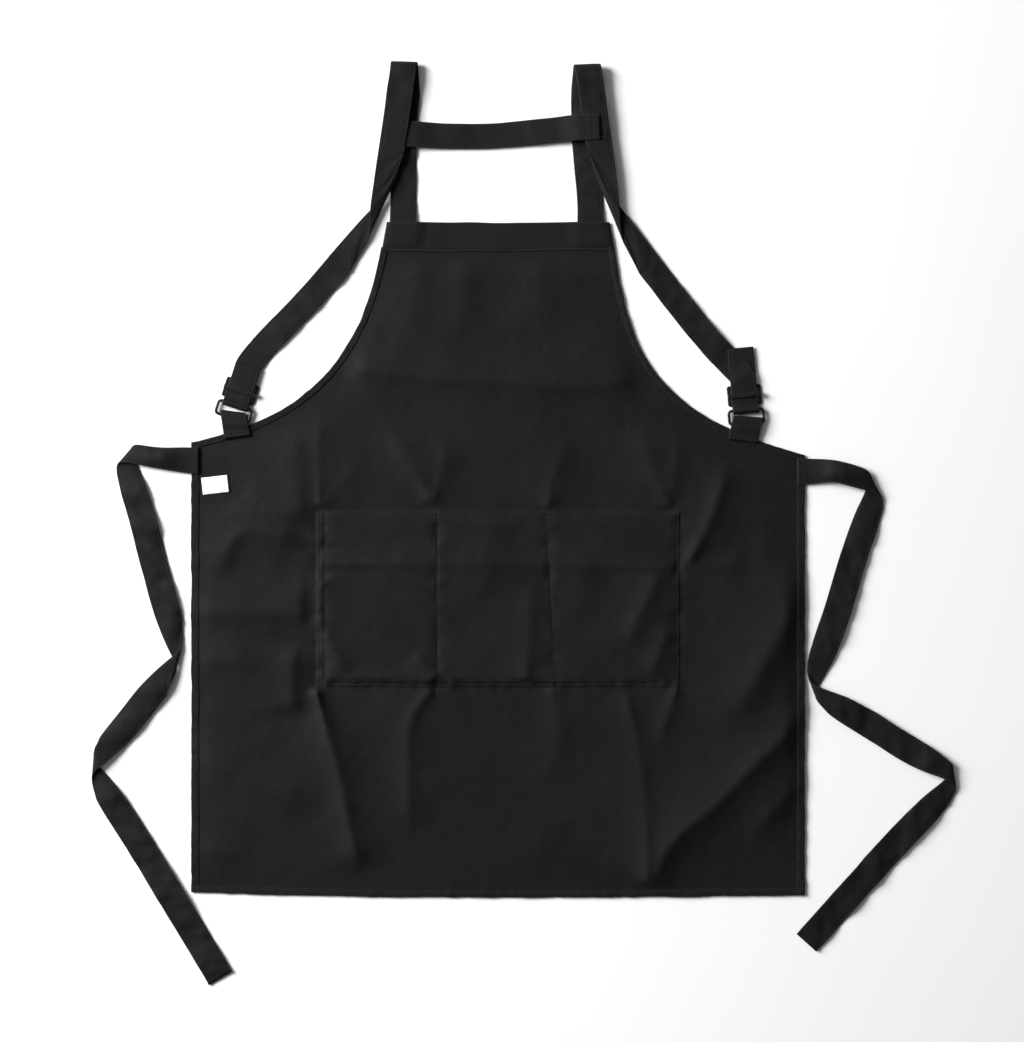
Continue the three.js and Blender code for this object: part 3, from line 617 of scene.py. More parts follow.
class Strip:
    """A strip of cloth as a row of stations: its middle, the way to its left edge, its face and its length
    so far."""

    def __init__(self, runs, width, loose=()):
        """Runs share corners, where the strip is folded over. Loose gives each fold's softness, or 0 for a
        sharp one."""
        self.half = width / 2
        self.middle, self.edge, self.face = [], [], []
        loose = loose or [0] * (len(runs) - 1)
        runs = [[np.array(p, float) for p in run] for run in runs]
        for before, after, size in zip(runs, runs[1:], loose):
            fold = self.fold(before, after)
            shift = fold["outward"] * 0.8 * size * fold["sine"]
            before[-1], after[0] = before[-1] + shift, after[0] + shift
        folds = [self.fold(a, b) for a, b in zip(runs, runs[1:])]
        turns = []
        side = 1
        for i, run in enumerate(runs):
            points = list(run)
            before = folds[i - 1] if i else None
            after = folds[i] if i < len(folds) else None
            if before:
                points[0] = points[0] + before["leaving"] * before["trim"]
            if after:
                points[-1] = points[-1] - after["arriving"] * after["trim"]
            lines = (before["line"] if before else None, after["line"] if after else None)
            self.run(points, side, *lines)
            if after:
                turns.append(len(self.middle) + 7)
                self.turn(after, side)
                side = -side
        self.middle, self.edge, self.face = (np.array(v) for v in (self.middle, self.edge, self.face))
        self.travelled = lengths(self.middle)
        self.folds = [self.travelled[k] for k in turns]
        for at, size in zip(list(self.folds), loose):
            if size:
                self.soften(at, size)

    def soften(self, at, size):
        """Rounds a fold, so that it lies loosely, by averaging the strip's line and slope around it."""
        reach = 3.6 * size
        places = self.travelled
        inner = np.arange(at - reach, at + reach, 1.8)
        kept = places[np.abs(places - at) >= reach]
        stations = np.sort(np.concatenate([kept, inner[(inner > 0) & (inner < places[-1])]]))
        fine = np.arange(0, places[-1], 0.7)
        share = size * ease((reach - np.abs(stations - at)) / (2.2 * size))
        weights = np.exp(-0.5 * ((stations[:, None] - fine[None, :]) / np.maximum(share, 0.05)[:, None]) ** 2)
        weights = weights / np.maximum(weights.sum(1), 1e-12)[:, None]
        changed = []
        for values in (self.middle, self.edge, self.face):
            plain, even = resampled(stations, places, values), resampled(fine, places, values)
            changed.append(np.where(share[:, None] > 0.5, weights @ even, plain))
        self.middle, self.edge, self.face = changed
        self.face = units(self.face)
        self.folds = [float(np.interp(f, stations, lengths(self.middle))) for f in self.folds]
        self.travelled = lengths(self.middle)

    def fold(self, before, after):
        corner, start = np.array(before[-1], float), np.array(after[0], float)
        radius = abs(corner[2] - start[2]) / 2
        arriving = level(corner - np.array(before[-2], float))
        leaving = level(np.array(after[1], float) - start)
        total = arriving + leaving
        line = left_of(arriving) if np.linalg.norm(total) < 1e-3 else total / np.linalg.norm(total)
        across = arriving - line * (arriving @ line)
        across = across / np.linalg.norm(across)
        setback = math.pi / 2 * radius
        sine = arriving @ across
        return {
            "corner": corner,
            "below": start[2],
            "radius": radius,
            "line": line,
            "outward": across,
            "slant": (arriving @ line) / sine,
            "setback": setback,
            "sine": sine,
            "trim": setback / sine,
            "arriving": arriving,
            "leaving": leaving,
        }

    def turn(self, fold, side):
        up = 1 if fold["corner"][2] > fold["below"] else -1
        mid = (fold["corner"][2] + fold["below"]) / 2
        edge = fold["line"] * (side * self.half / (fold["line"] @ left_of(fold["arriving"])))
        for i in range(1, 16):
            angle = math.pi * i / 16
            reach = -fold["setback"] + fold["radius"] * math.sin(angle)
            slide = (-fold["setback"] + fold["radius"] * angle) * fold["slant"]
            middle = fold["corner"] + fold["line"] * slide + fold["outward"] * reach
            middle[2] = mid + up * fold["radius"] * math.cos(angle)
            face = fold["outward"] * math.sin(angle) + np.array([0, 0, up * math.cos(angle)])
            self.middle.append(middle)
            self.edge.append(edge)
            self.face.append(face * side * up)

    def run(self, points, side, start_line, end_line):
        plan, shares = through([p[:2] for p in points], 3.2)
        heights = [points[k][2] + (points[k + 1][2] - points[k][2]) * float(ease(t)) for k, t in shares]
        slopes = np.gradient(plan, axis=0)
        travelled = lengths(plan)
        directions = [level((*slope, 0)) for slope in slopes]

        def lean(line, direction):
            return 0 if line is None else (line @ direction) / (line @ left_of(direction))

        def fade(amount, distance):
            reach = 1.25 * self.half * abs(amount)
            return amount * max(0, 1 - distance / reach) if reach > 0 else 0

        start, end = lean(start_line, directions[0]), lean(end_line, directions[-1])
        for place, height, direction, distance in zip(plan, heights, directions, travelled):
            slant = fade(start, distance) + fade(end, travelled[-1] - distance)
            self.middle.append(np.array([*place, height]))
            self.edge.append((left_of(direction) + direction * slant) * side * self.half)
            self.face.append(np.array([0, 0, side], float))

    @classmethod
    def between(cls, outer, inner):
        """A strip given by its two edges, which turns its face outwards as it goes."""
        made = cls.__new__(cls)
        made.middle, made.edge = (outer + inner) / 2, (outer - inner) / 2
        made.half = float(np.linalg.norm(made.edge, axis=1).mean())
        made.face = units(np.cross(made.edge, np.gradient(made.middle, axis=0)))
        made.travelled = lengths(made.middle)
        return made


def waves(strip, share, roll, seed):
    """How far a strap stands up along one line of it, where it lies loosely."""
    wave = 1.7 * swells(strip.travelled + 6 * share, share * strip.half * 0.9, 21, seed + 5)
    return roll * 0.5 * (1 + np.clip(wave, -1, 1))


def strap_piece(name, strip, seed, thickness=STRAP_THICK, crown=0.0, narrow=1.0, gather=0.16, roll=0.0):
    """A folded and topstitched strap: rounded edges, a groove along each row of stitches, and soft puckers.
    Crown, narrow and roll may change along the strap: its arch, its share of the full width and its waves."""
    half = strip.half
    groove = 1 - TOPSTITCH / half
    shares = [-1, -0.985, -0.94, -groove - 0.05, -groove, -groove + 0.07, -0.55, -0.25, 0]
    shares = shares + [-s for s in shares[-2::-1]]
    lift = {1: 0.0, 0.985: 0.62, 0.94: 0.92}
    rings, uv, wear = [], [], []
    length = strip.travelled
    for side in (1, -1):
        for s in shares if side > 0 else shares[-2:0:-1]:
            depth = 1 - 0.3 * math.exp(-(((abs(s) - groove) * half / 0.7) ** 2))
            depth = lift.get(abs(s), depth)
            pucker = gather * swells(length, s * half * 1.4, 9, seed)
            wave = waves(strip, s, roll, seed)
            edge_pull = 0.22 * abs(s) ** 3 * ripple(length, s * 40, 6.5, seed + 9)
            body = side * (thickness / 2) * depth
            height = body + (pucker + edge_pull) * (1 if depth > 0.5 else 0.4)
            arch = crown * (1 - s * s)
            wander = 0.4 * ripple(length, np.sign(s) * 30.0, 21, seed + 13)
            reach = (s * narrow + np.sign(s) * abs(s) * wander / half)[:, None]
            line = strip.middle + strip.edge * reach + strip.face * height[:, None]
            line = line + UP * (arch + wave)[:, None]
            rings.append(line)
            across = s * half + (0 if side > 0 else 40)
            uv.append(np.stack([np.full(len(length), across * MM), length * MM], -1))
            wear.append(np.full(len(length), 0.9 if abs(s) > 0.93 else 0.0))
    rings = np.stack(rings, 1)
    uv = np.stack(uv, 1).reshape(-1, 2)
    wear = np.stack(wear, 1).ravel()
    return swept(name, rings, strap_twill, uv, wear)


def edge_rows(strip, narrow, roll, seed, crown=0.0):
    """The rows of stitches along both edges of a strap, on both of its faces."""
    rows = []
    for share in (-1 + TOPSTITCH / strip.half, 1 - TOPSTITCH / strip.half):
        rise = crown * (1 - share * share) + waves(strip, share, roll, seed)
        for face in (1, -1):
            line = strip.middle + strip.edge * (share * narrow)[:, None] + strip.face * face * ROW_SEAT
            rows.append((line + UP * rise[:, None], strip.face * face))
    return rows


# ---- Stitches ----


def sew(name, courses, body, nodes=(), pitch=3.1, thick=0.44, blend=None):
    """Rows of lockstitches. Each course is a line of places on the cloth and the way its face points at
    each."""
    points, faces, uv = [], [], []
    sides = 6
    profile = ((-0.5, -0.2, 0.55), (-0.36, 0.1, 0.9), (0, 0.17, 1), (0.36, 0.1, 0.9), (0.5, -0.2, 0.55))
    for line, face in courses:
        line, face = np.asarray(line, float), np.asarray(face, float)
        travelled = lengths(line)
        count = max(1, int(travelled[-1] / pitch))
        for k in range(count):
            middle = (k + 0.5) * travelled[-1] / count
            first = len(points)
            at = [middle + share * 0.84 * pitch for share, _, _ in profile]
            spots, ups = resampled(at, travelled, line), resampled(at, travelled, face)
            along = spots[-1] - spots[0]
            along = along / np.linalg.norm(along)
            for (_, rise, size), spot, up in zip(profile, spots, ups):
                up = up / np.linalg.norm(up)
                beside = np.cross(along, up)
                for j in range(sides):
                    angle = 2 * math.pi * j / sides
                    reach = beside * math.cos(angle) + up * math.sin(angle)
                    points.append(spot + up * rise + reach * thick / 2 * size)
                    uv.append((at[0] * MM + spot @ along * MM, j * thick * 0.5 * MM))
            for i in range(len(profile) - 1):
                for j in range(sides):
                    a, b = first + i * sides + j, first + i * sides + (j + 1) % sides
                    faces.append([a, b, b + sides, a + sides])
            last = first + (len(profile) - 1) * sides
            faces.append([first + j for j in reversed(range(sides))])
            faces.append([last + j for j in range(sides)])
    rows = piece_from(name, points, faces, black_thread, np.array(uv))
    outward(rows)
    if blend:
        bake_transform(rows)
    else:
        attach(rows, body)
    if nodes:
        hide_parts(*nodes)
    return rows


def flat_course(points, height, spacing=1.5):
    """A course over the panel, at a height above it."""
    line, _ = through(points, spacing)
    z = panel_height(line[:, 0], line[:, 1]) + height
    course = np.column_stack([line, z])
    return course, np.tile(UP, (len(course), 1))


# ---- The panel ----


def rulings(low, high, step, fine):
    """Lines across the panel: evenly spaced, and closer beside each stitch line."""
    lines = list(np.linspace(low, high, round((high - low) / step) + 1))
    for place in fine:
        lines = [v for v in lines if abs(v - place) > 3.4]
        lines += [place + off for off in (-2.6, -1.4, -0.7, 0, 0.7, 1.4, 2.6)]
    lines = sorted(lines)
    kept = [lines[0]]
    for value in lines[1:]:
        if value - kept[-1] > 0.45:
            kept.append(value)
    return np.array(kept)


def body_panel():
    across = rulings(-BODY_HALF + 2, BODY_HALF - 2, 3.6, (-206, -199, -69.6, 61, 206))
    upwards = rulings(HEM_FOOT - 1, BIB_TOP - 1, 3.6, (-98, 99))
    x, y = np.meshgrid(across, upwards)
    distance, _ = from_edge(x, y)
    z = panel_height(x, y)
    rows, columns = x.shape
    inside = distance > 1.4
    cell = inside[:-1, :-1] & inside[:-1, 1:] & inside[1:, 1:] & inside[1:, :-1]
    _, cells = grid(rows, columns)
    quads = cells[cell]
    used = np.unique(quads)
    renumber = np.full(rows * columns, -1)
    renumber[used] = np.arange(len(used))
    quads = renumber[quads]
    top = np.stack([x, y, z], -1).reshape(-1, 3)[used]
    low = top - np.array([0, 0, PANEL_THICK])
    count = len(used)
    sides = np.concatenate([quads[:, [i, (i + 1) % 4]] for i in range(4)])
    key = np.sort(sides, 1)
    _, first, times = np.unique(key, axis=0, return_index=True, return_counts=True)
    rim = sides[first[times == 1]]
    walls = np.stack([rim[:, 1], rim[:, 0], rim[:, 0] + count, rim[:, 1] + count], -1)
    faces = np.concatenate([quads, quads[:, ::-1] + count, walls]).tolist()
    points = np.concatenate([top, low])
    # The panel is painted paler where it stands above its surroundings: a painted highlight on the crests of
    # its folds.
    steps = ((5, 0), (-5, 0), (0, 5), (0, -5))
    around = sum(panel_height(top[:, 0] + dx, top[:, 1] + dy) for dx, dy in steps) / 4
    wear = np.clip((top[:, 2] - around) * 0.3, 0, 0.18)
    made = piece_from("panel_cloth", points, faces, panel_twill, wear=np.concatenate([wear, wear]))
    return outward(made)


def hem(name, course, inward, width, seed, raise_by=0.0):
    """A turned hem: the cloth's edge folded in twice, rolled at the outside and pulled in along its
    stitches."""
    course, inward = np.asarray(course, float), np.asarray(inward, float)
    travelled = lengths(course)
    w = width
    profile = [(0.0, -0.1), (0.15, 0.6), (0.6, 1.0), (1.5, HEM_TOP), (0.4 * w, HEM_TOP), (w - 3.4, HEM_TOP)]
    profile += [(w - 2.6, 0.85), (w - 2.0, 0.62), (w - 1.4, 0.8), (w - 0.6, 0.76), (w - 0.05, 0.4), (w, 0.05)]
    profile += [(w - 0.4, -0.72), (0.5 * w, -0.76), (0.7, -0.74), (0.15, -0.45)]
    swing = 0.45 * ripple(travelled, 0, 15, seed) + 0.25 * ripple(travelled, 0, 6, seed + 1)
    rings, uv, wear = [], [], []
    for reach, rise in profile:
        inner = reach / w
        shift = swing * (1 - inner) + 0.3 * ripple(travelled, 50, 7, seed + 2) * inner
        place = course + inward * (reach + shift)[:, None]
        base = panel_height(place[:, 0], place[:, 1])
        pucker = 0.34 * swells(travelled, reach * 1.2, 6.5, seed + 3)
        lift = rise * (1 + (0.3 * pucker if rise > 0 else 0)) + (pucker + raise_by if rise > 0.3 else 0)
        rings.append(np.column_stack([place, base + lift]))
        uv.append(np.column_stack([travelled * MM, np.full(len(travelled), reach * MM)]))
        rub_and_highlight = 0.6 if 0.1 < reach < 1 and rise > 0 else 0
        wear.append(np.full(len(travelled), rub_and_highlight))
    rings = np.stack(rings, 1)
    made = swept(name, rings, panel_twill, np.stack(uv, 1).reshape(-1, 2), np.stack(wear, 1).ravel())
    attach(made, "root")
    return made


def hem_course(line, inward, width):
    """The stitch line of a hem."""
    place = line + inward * (width - 2.0)
    z = panel_height(place[:, 0], place[:, 1]) + 0.72
    return np.column_stack([place, z]), np.tile(UP, (len(place), 1))


panel = body_panel()
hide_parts("body_panel")
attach(panel, "root")

for side, outside in SIDES.items():
    y = np.arange(foot(outside * BODY_HALF) + 0.5, UNDERARM[side] - 0.5, 2.1)
    line = np.column_stack([np.full(len(y), outside * BODY_HALF), y])
    inward = np.tile([-outside, 0.0], (len(y), 1))
    hem(f"hem_side_{side}", line, inward, SIDE_HEM, 101 + outside)
    sew(f"stitches_side_{side}", [hem_course(line, inward, SIDE_HEM)], "root", [f"seam_side_{side}"])
    line = ARMHOLES[side]
    tangent = units(np.gradient(line, axis=0))
    inward = np.column_stack([tangent[:, 1], -tangent[:, 0]]) * outside
    travelled = lengths(line)
    at = np.linspace(0, travelled[-1], 190)
    finer, inward = resampled(at, travelled, line), resampled(at, travelled, inward)
    kept = finer[:, 1] < BIB_TOP - BAND_HEIGHT + 6
    hem(f"hem_armhole_{side}", finer[kept], inward[kept], ARMHOLE_HEM, 111 + outside, 0.1)
    sewn = hem_course(finer[kept], inward[kept], ARMHOLE_HEM)
    sew(f"stitches_armhole_{side}", [sewn], "root", [f"seam_armhole_{side}"])
x = np.arange(-BODY_HALF + 0.3, BODY_HALF, 2.1)
line = np.column_stack([x, foot(x)])
inward = np.tile([0.0, 1.0], (len(x), 1))
hem("hem_bottom", line, inward, BOTTOM_HEM, 131, 0.25)
sew("stitches_bottom", [hem_course(line, inward, BOTTOM_HEM)], "root", ["seam_bottom"])
pocket_courses = [flat_course(line, 0.02) for line in POCKET_LINES]
sew("stitches_pocket", pocket_courses[:4], "root", ["seam_pocket"])
sew("stitches_divider_left", pocket_courses[4:5], "root", ["seam_divider_left"])
sew("stitches_divider_right", pocket_courses[5:], "root", ["seam_divider_right"])


def pocket():
    """The pocket under the panel, with its hemmed mouth."""
    across = np.linspace(-POCKET_HALF, POCKET_HALF, 90)
    mouth = np.linspace(POCKET_RISE - 20, POCKET_RISE, 12)
    upwards = np.concatenate([np.linspace(-POCKET_RISE, POCKET_RISE - 22, 40), mouth])
    x, y = np.meshgrid(across, upwards)
    z = 0.62 + 0.06 * swells(x, y, 20, 61)
    made = patch("pocket_cloth", x, y, z, 0.55, panel_twill)
    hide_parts("pocket_panel")
    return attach(made, "root")


pocket_cloth = pocket()


# ---- The bib band ----


def bib_band():
    """The facing on the bib: its top edge is a fold, its lower edge sags a little, and one end stands out."""
    across = np.linspace(-BIB_HALF - 1.2, BIB_HALF + 1.6, 132)
    upper = [0, 0.015, 0.05, 0.12, 0.22, 0.34, 0.46, 0.58, 0.7, 0.8]
    x, s = np.meshgrid(across, np.array([*upper, 0.87, 0.91, 0.935, 0.96, 0.985, 1]))
    top = BIB_TOP + 0.4 * ripple(x, 0, 30, 71) - 0.9 * hump(x - 20, 60)
    sag = 1.2 * hump(x + 62, 55) - 0.5 * hump(x - 85, 40)
    y = top - s * (BAND_HEIGHT + sag + 0.35 * ripple(x, 0, 11, 72))
    ends = [outside * STRAP_FEET[side] for side, outside in SIDES.items()]
    feet = sum(ease(1.5 - np.abs(x - middle) / 15 + 0.4) for middle in ends)
    z = PANEL_TOP + 0.9 + 1.35 * feet * ease((0.86 - s) / 0.1) + 0.28 * swells(x, y, 26, 73)
    z = z + 0.2 * swells(x, y * 0.4, 8, 74) * ease((s - 0.6) / 0.4)
    z = z - 0.45 * hump(s - 0.935, 0.018)
    z = z + 0.35 * ease((x - 118) / 8) * ease((s - 0.2) / 0.5)
    wear = np.where((s < 0.03) | (s > 0.98), 0.9, 0.0)
    x = x * (0.978 + 0.047 * s)
    made = patch("band_cloth", x, y, z, 0.95, panel_twill, wear)
    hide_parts("bib_band")
    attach(made, "root")
    row, edge = (np.column_stack([x[k], y[k], z[k] + 0.1])[2:-2] for k in (12, 2))
    ups = np.tile(UP, (len(row), 1))
    sew("stitches_band", [(row, ups), (edge, ups)], "root", ["seam_band"])
    return made


band = bib_band()


# ---- Straps ----

STRAP_PLACES = {
    "left": {
        "foot": STRAP_FEET["left"],
        "front": [(109.0, 96), (105.0, 152)],
        "top": (107.5, 186),
        "shoulder": (115.6, 126.4),
        "twist": (136.3, 9.2),
        "diagonal": (218.5, -89.7),
        "approach": [(8.6, 71.6)],
        "clear": 45.7,
        "tail": 48,
        "tail_on_top": True,
        "cross": (117.5, 101.2),
    },
    "right": {
        "foot": STRAP_FEET["right"],
        "front": [(100.4, 90), (98.9, 146)],
        "top": (102.3, 183),
        "shoulder": (111, 125.4),
        "twist": (128.8, 13.8),
        "diagonal": (204.7, -89.7),
        "approach": [(32.1, 79), (13.5, 56)],
        "clear": 35.7,
        "tail": 72,
        "tail_on_top": False,
        "cross": (114, 109.1),
    },
}


def buckle(side):
    """The line on which a ring and its slider lie: the ring's two bars and the way it runs."""
    up = np.array(joints[f"slider_{side}_slide"]["axis"], float)
    lower = np.array(joints[f"ring_{side}_tilt"]["pos_m"], float) / MM
    lower[2] = 0
    return lower, lower + up * RING_SPACING, up


def on_buckle(side, distance, height, inwards=0.0):
    _, upper, up = buckle(side)
    inward = left_of(up) * SIDES[side]
    place = upper + up * distance + inward * inwards
    place[2] = height
    return place


def from_bib(side, place, height):
    return np.array([SIDES[side] * place[0], BIB_TOP + place[1], height])


def shoulder_strap(side):
    """One long strap: up from the bib, over the shoulder, down the back, round the ring and back."""
    at = STRAP_PLACES[side]
    radius = 3.7
    corner = -math.pi / 2 * radius
    lower_layer, upper_layer = 2.55, 4.2
    main, tail = (lower_layer, upper_layer) if at["tail_on_top"] else (upper_layer, lower_layer)
    low, high = STRAP_FLOOR, STRAP_FLOOR + 2 * radius
    main_end, tail_start = (low, high) if at["tail_on_top"] else (high, low)
    tucked = PANEL_TOP + 0.75
    foot_x, top_x = at["foot"], at["top"][0]
    front = [
        from_bib(side, (foot_x, -26), tucked),
        from_bib(side, (foot_x, 3), tucked + 0.3),
        from_bib(side, (foot_x + 0.15 * (top_x - foot_x), 28), STRAP_FLOOR),
        *(from_bib(side, bend, STRAP_FLOOR) for bend in at["front"]),
        from_bib(side, at["top"], STRAP_FLOOR),
    ]
    back = [
        from_bib(side, at["top"], STRAP_TOP),
        from_bib(side, at["shoulder"], STRAP_TOP - 0.6),
        from_bib(side, at["twist"], 6.6),
    ]
    down = [
        from_bib(side, at["twist"], 2.3),
        from_bib(side, at["diagonal"], STRAP_FLOOR + 0.5),
        *(on_buckle(side, up, STRAP_FLOOR + 0.9, inwards) for inwards, up in at["approach"]),
        on_buckle(side, at["clear"] + 1.5, main),
        on_buckle(side, at["clear"] - 8, main),
        on_buckle(side, 5, main),
        on_buckle(side, corner, main_end),
    ]
    end = [
        on_buckle(side, corner, tail_start),
        on_buckle(side, 5, tail),
        on_buckle(side, at["tail"], tail),
    ]
    strip = Strip([front, back, down, end], STRAP_WIDTH, (0, 13, 0))
    length = strip.travelled
    crossing = strip.folds[0] + 85
    buckle_start = strip.folds[2] - at["clear"] - 30
    free = ease((length - 50) / 30) * ease((buckle_start - length) / 35)
    for place, reach in ((crossing, 30), (strip.folds[1], 22)):
        free = free * (1 - hump(length - place, reach))
    narrow = 1 - 0.3 * hump(length - strip.folds[1], 34)
    roll = 2.4 * free
    seed = 200 + 20 * SIDES[side]
    made = strap_piece(f"strap_cloth_{side}", strip, seed, narrow=narrow, roll=roll)
    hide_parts(f"shoulder_strap_{side}")
    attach(made, "root")
    sew(f"stitches_strap_{side}", edge_rows(strip, narrow, roll, seed), "root")
    return made, strip


def cross_strap():
    """The short strap between the two back runs: under the left one and over the right one."""
    left, right = STRAP_PLACES["left"]["cross"], STRAP_PLACES["right"]["cross"]
    run = [
        from_bib("left", (left[0] + 9, left[1]), 7.6),
        from_bib("left", (left[0] - 19, left[1] - 0.6), 6.9),
        from_bib("left", (61, 98.8), 3.6),
        from_bib("left", (16, 98.6), 2.6),
        from_bib("right", (28, 101.6), 2.8),
        from_bib("right", (66, 105.4), 5.2),
        from_bib("right", (right[0] - 19, right[1] - 0.9), 9.8),
        from_bib("right", (right[0] + 3.5, right[1]), 10.3),
    ]
    strip = Strip([run], STRAP_WIDTH)
    length = strip.travelled
    narrow = 1 - 2.2 * hump(length - 120, 75) * 0.02
    roll = 1.3 * (ease((length - 40) / 30) * ease((length[-1] - 50 - length) / 30))
    made = strap_piece("cross_strap_cloth", strip, 301, narrow=narrow, roll=roll)
    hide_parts("cross_strap")
    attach(made, "root")
    sew("stitches_cross", edge_rows(strip, narrow, roll, 301), "root")
    return made


straps = {side: shoulder_strap(side) for side in SIDES}
cross = cross_strap()


def box_course(centre, width, height, up, z):
    """A rectangle of stitches on one flat piece."""
    right = np.array([up[1], -up[0], 0.0])
    corners = [(-1, -1), (1, -1), (1, 1), (-1, 1), (-1, -1)]
    line = []
    for (ax, ay), (bx, by) in zip(corners, corners[1:]):
        for t in np.linspace(0, 1, 12)[:-1]:
            sx, sy = ax + (bx - ax) * t, ay + (by - ay) * t
            spot = np.array(centre, float) + right * sx * width / 2 + np.array([*up[:2], 0]) * sy * height / 2
            line.append([spot[0], spot[1], z])
    line.append(line[0])
    return np.array(line), np.tile(UP, (len(line), 1))


for side, outside in SIDES.items():
    cx, cy = STRAP_PLACES[side]["cross"]
    z = (STRAP_TOP - 0.75 if side == "left" else 11.0) + STRAP_THICK / 2 + 0.05
    course = box_course(from_bib(side, (cx, cy), 0), 18.6, 24, (0, 1), z)
    sew(f"stitches_cross_{side}", [course], "root", [f"seam_cross_{side}"])


# ---- Ring tabs ----


# The corners of each tab where it is sewn down and where it turns round the bar: outer and inner.
TAB_CORNERS = {
    "left": ((-314.5, 184.0), (-284.6, 188.4), (-319.4, 217.6), (-289.6, 213.6)),
    "right": ((298.6, 179.6), (264.6, 183.8), (304.8, 208.4), (271.2, 210.8)),
}


def ring_tab(side):
    """A doubled loop of strap round the ring's lower bar, sewn on the armhole's hem."""
    lower, _, up = buckle(side)
    outer_foot, inner_foot, outer_top, inner_top = (np.array([*p, 0.0]) for p in TAB_CORNERS[side])
    low, high = 0.6, 5.9
    radius, mid = (high - low) / 2, (high + low) / 2
    share = np.linspace(0, 0.9, 16)
    under = low + (3.45 - low) * (1 - ease((share - 0.2) / 0.25))
    over = high + (4.5 - high) * (1 - ease((share - 0.25) / 0.25))
    angle = np.linspace(0, math.pi, 13)[1:-1]
    places = np.concatenate([share, 0.9 + 0.1 * np.sin(angle), share[::-1]])
    heights = np.concatenate([under, mid - radius * np.cos(angle), over[::-1]])
    outer = outer_foot + (outer_top - outer_foot) * places[:, None] + UP * heights[:, None]
    inner = inner_foot + (inner_top - inner_foot) * places[:, None] + UP * heights[:, None]
    strip = Strip.between(outer, inner)
    made = strap_piece(f"tab_cloth_{side}", strip, 320 + SIDES[side], thickness=0.95, gather=0.1)
    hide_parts(f"ring_tab_{side}")
    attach(made, "root")
    sewn = (outer_foot + inner_foot) / 2
    lean = (outer_top + inner_top) / 2 - sewn
    lean = lean / np.linalg.norm(lean)
    course = box_course(sewn + lean * 4.2, 23, 3.6, lean, 4.5 + 0.95 / 2 + 0.05)
    sew(f"stitches_tab_{side}", [course], "root", [f"seam_tab_{side}"])
    return made, strip


tabs = {side: ring_tab(side) for side in SIDES}


# ---- Waist ties ----

TIE_PLACES = {
    "left": {
        "run": [(-343.8, 159.3), (-354.2, 159.5), (-392, 162.6), (-428.4, 165.6)],
        "corners": [(-366.9, -68.7), (-465.9, -192.5)],
        "end": (-319.1, -436.4),
    },
    "right": {
        "run": [(343.8, 146.8), (354.2, 146.8), (387.6, 146.6), (434.7, 130)],
        "corners": [(361.7, -103.5), (525, -205.9)],
        "end": (354.8, -395.6),
    },
}


def waist_tie(side):
    """A long tie, sewn on the side hem, lying in a loose zigzag of soft folds."""
    at = TIE_PLACES[side]
    outside = SIDES[side]

    def place(p, height):
        return np.array([p[0], p[1], height])

    first = at["run"]
    second, third = at["corners"]

    def between(a, b, share, height):
        return place((a[0] + (b[0] - a[0]) * share, a[1] + (b[1] - a[1]) * share), height)

    runs = [
        [place(first[0], SEWN), place(first[1], SEWN), place(first[2], 4.3), place(first[3], TIE_TOP)],
        [
            place(first[3], STRAP_FLOOR),
            between(first[3], second, 0.3, STRAP_FLOOR + 0.6),
            between(first[3], second, 0.7, STRAP_FLOOR + 0.3),
            place(second, STRAP_FLOOR),
        ],
        [
            place(second, TIE_TOP),
            between(second, third, 0.35, 2.2),
            between(second, third, 0.65, 2.0),
            place(third, TIE_TOP),
        ],
        [
            place(third, STRAP_FLOOR),
            between(third, at["end"], 0.4, STRAP_FLOOR + 0.8),
            place(at["end"], STRAP_FLOOR),
        ],
    ]
    strip = Strip(runs, TIE_WIDTH, (9, 10, 10))
    length = strip.travelled
    crown = 3.0 * hump(length - 48, 24)
    narrow = 1 - 0.17 * hump(length - 48, 30)
    free = ease((length - 22) / 25)
    for turn, pinch in zip(strip.folds, (0.24, 0.46, 0.42)):
        near = hump(length - turn, 30)
        narrow = narrow * (1 - pinch * near)
        free = free * (1 - 0.9 * near)
        crown = crown + 1.4 * hump(np.abs(length - turn) - 42, 20)
    seed = 400 + 30 * outside
    roll = 3.4 * free
    made = strap_piece(f"tie_cloth_{side}", strip, seed, crown=crown, narrow=narrow, gather=0.2, roll=roll)
    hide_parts(f"tie_anchor_{side}", f"waist_tie_{side}")
    hinge = np.array(joints[f"waist_tie_{side}_fold"]["pos_m"], float)
    # The way out slopes down the apron, so that the tie's far end, which comes back inwards, still lies past
    # the hinge.
    away = np.array([outside * 0.985, -0.17, 0])
    start = hinge - away * 0.0015
    end = hinge + away * 0.003
    link = ("root", f"waist_tie_{side}", tuple(start), tuple(end))
    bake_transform(made)
    sew(f"stitches_tie_edge_{side}", edge_rows(strip, narrow, roll, seed, crown), None, blend=link)
    middle = hinge / MM - np.array([outside * 5.2, 0, 0])
    course = box_course(middle, 5, 25, (0, 1), SEWN + STRAP_THICK / 2 + 0.05)
    sew(f"stitches_tie_{side}", [course], "root", [f"seam_tie_{side}"])
    return made, strip


ties = {side: waist_tie(side) for side in SIDES}


# ---- Care label ----


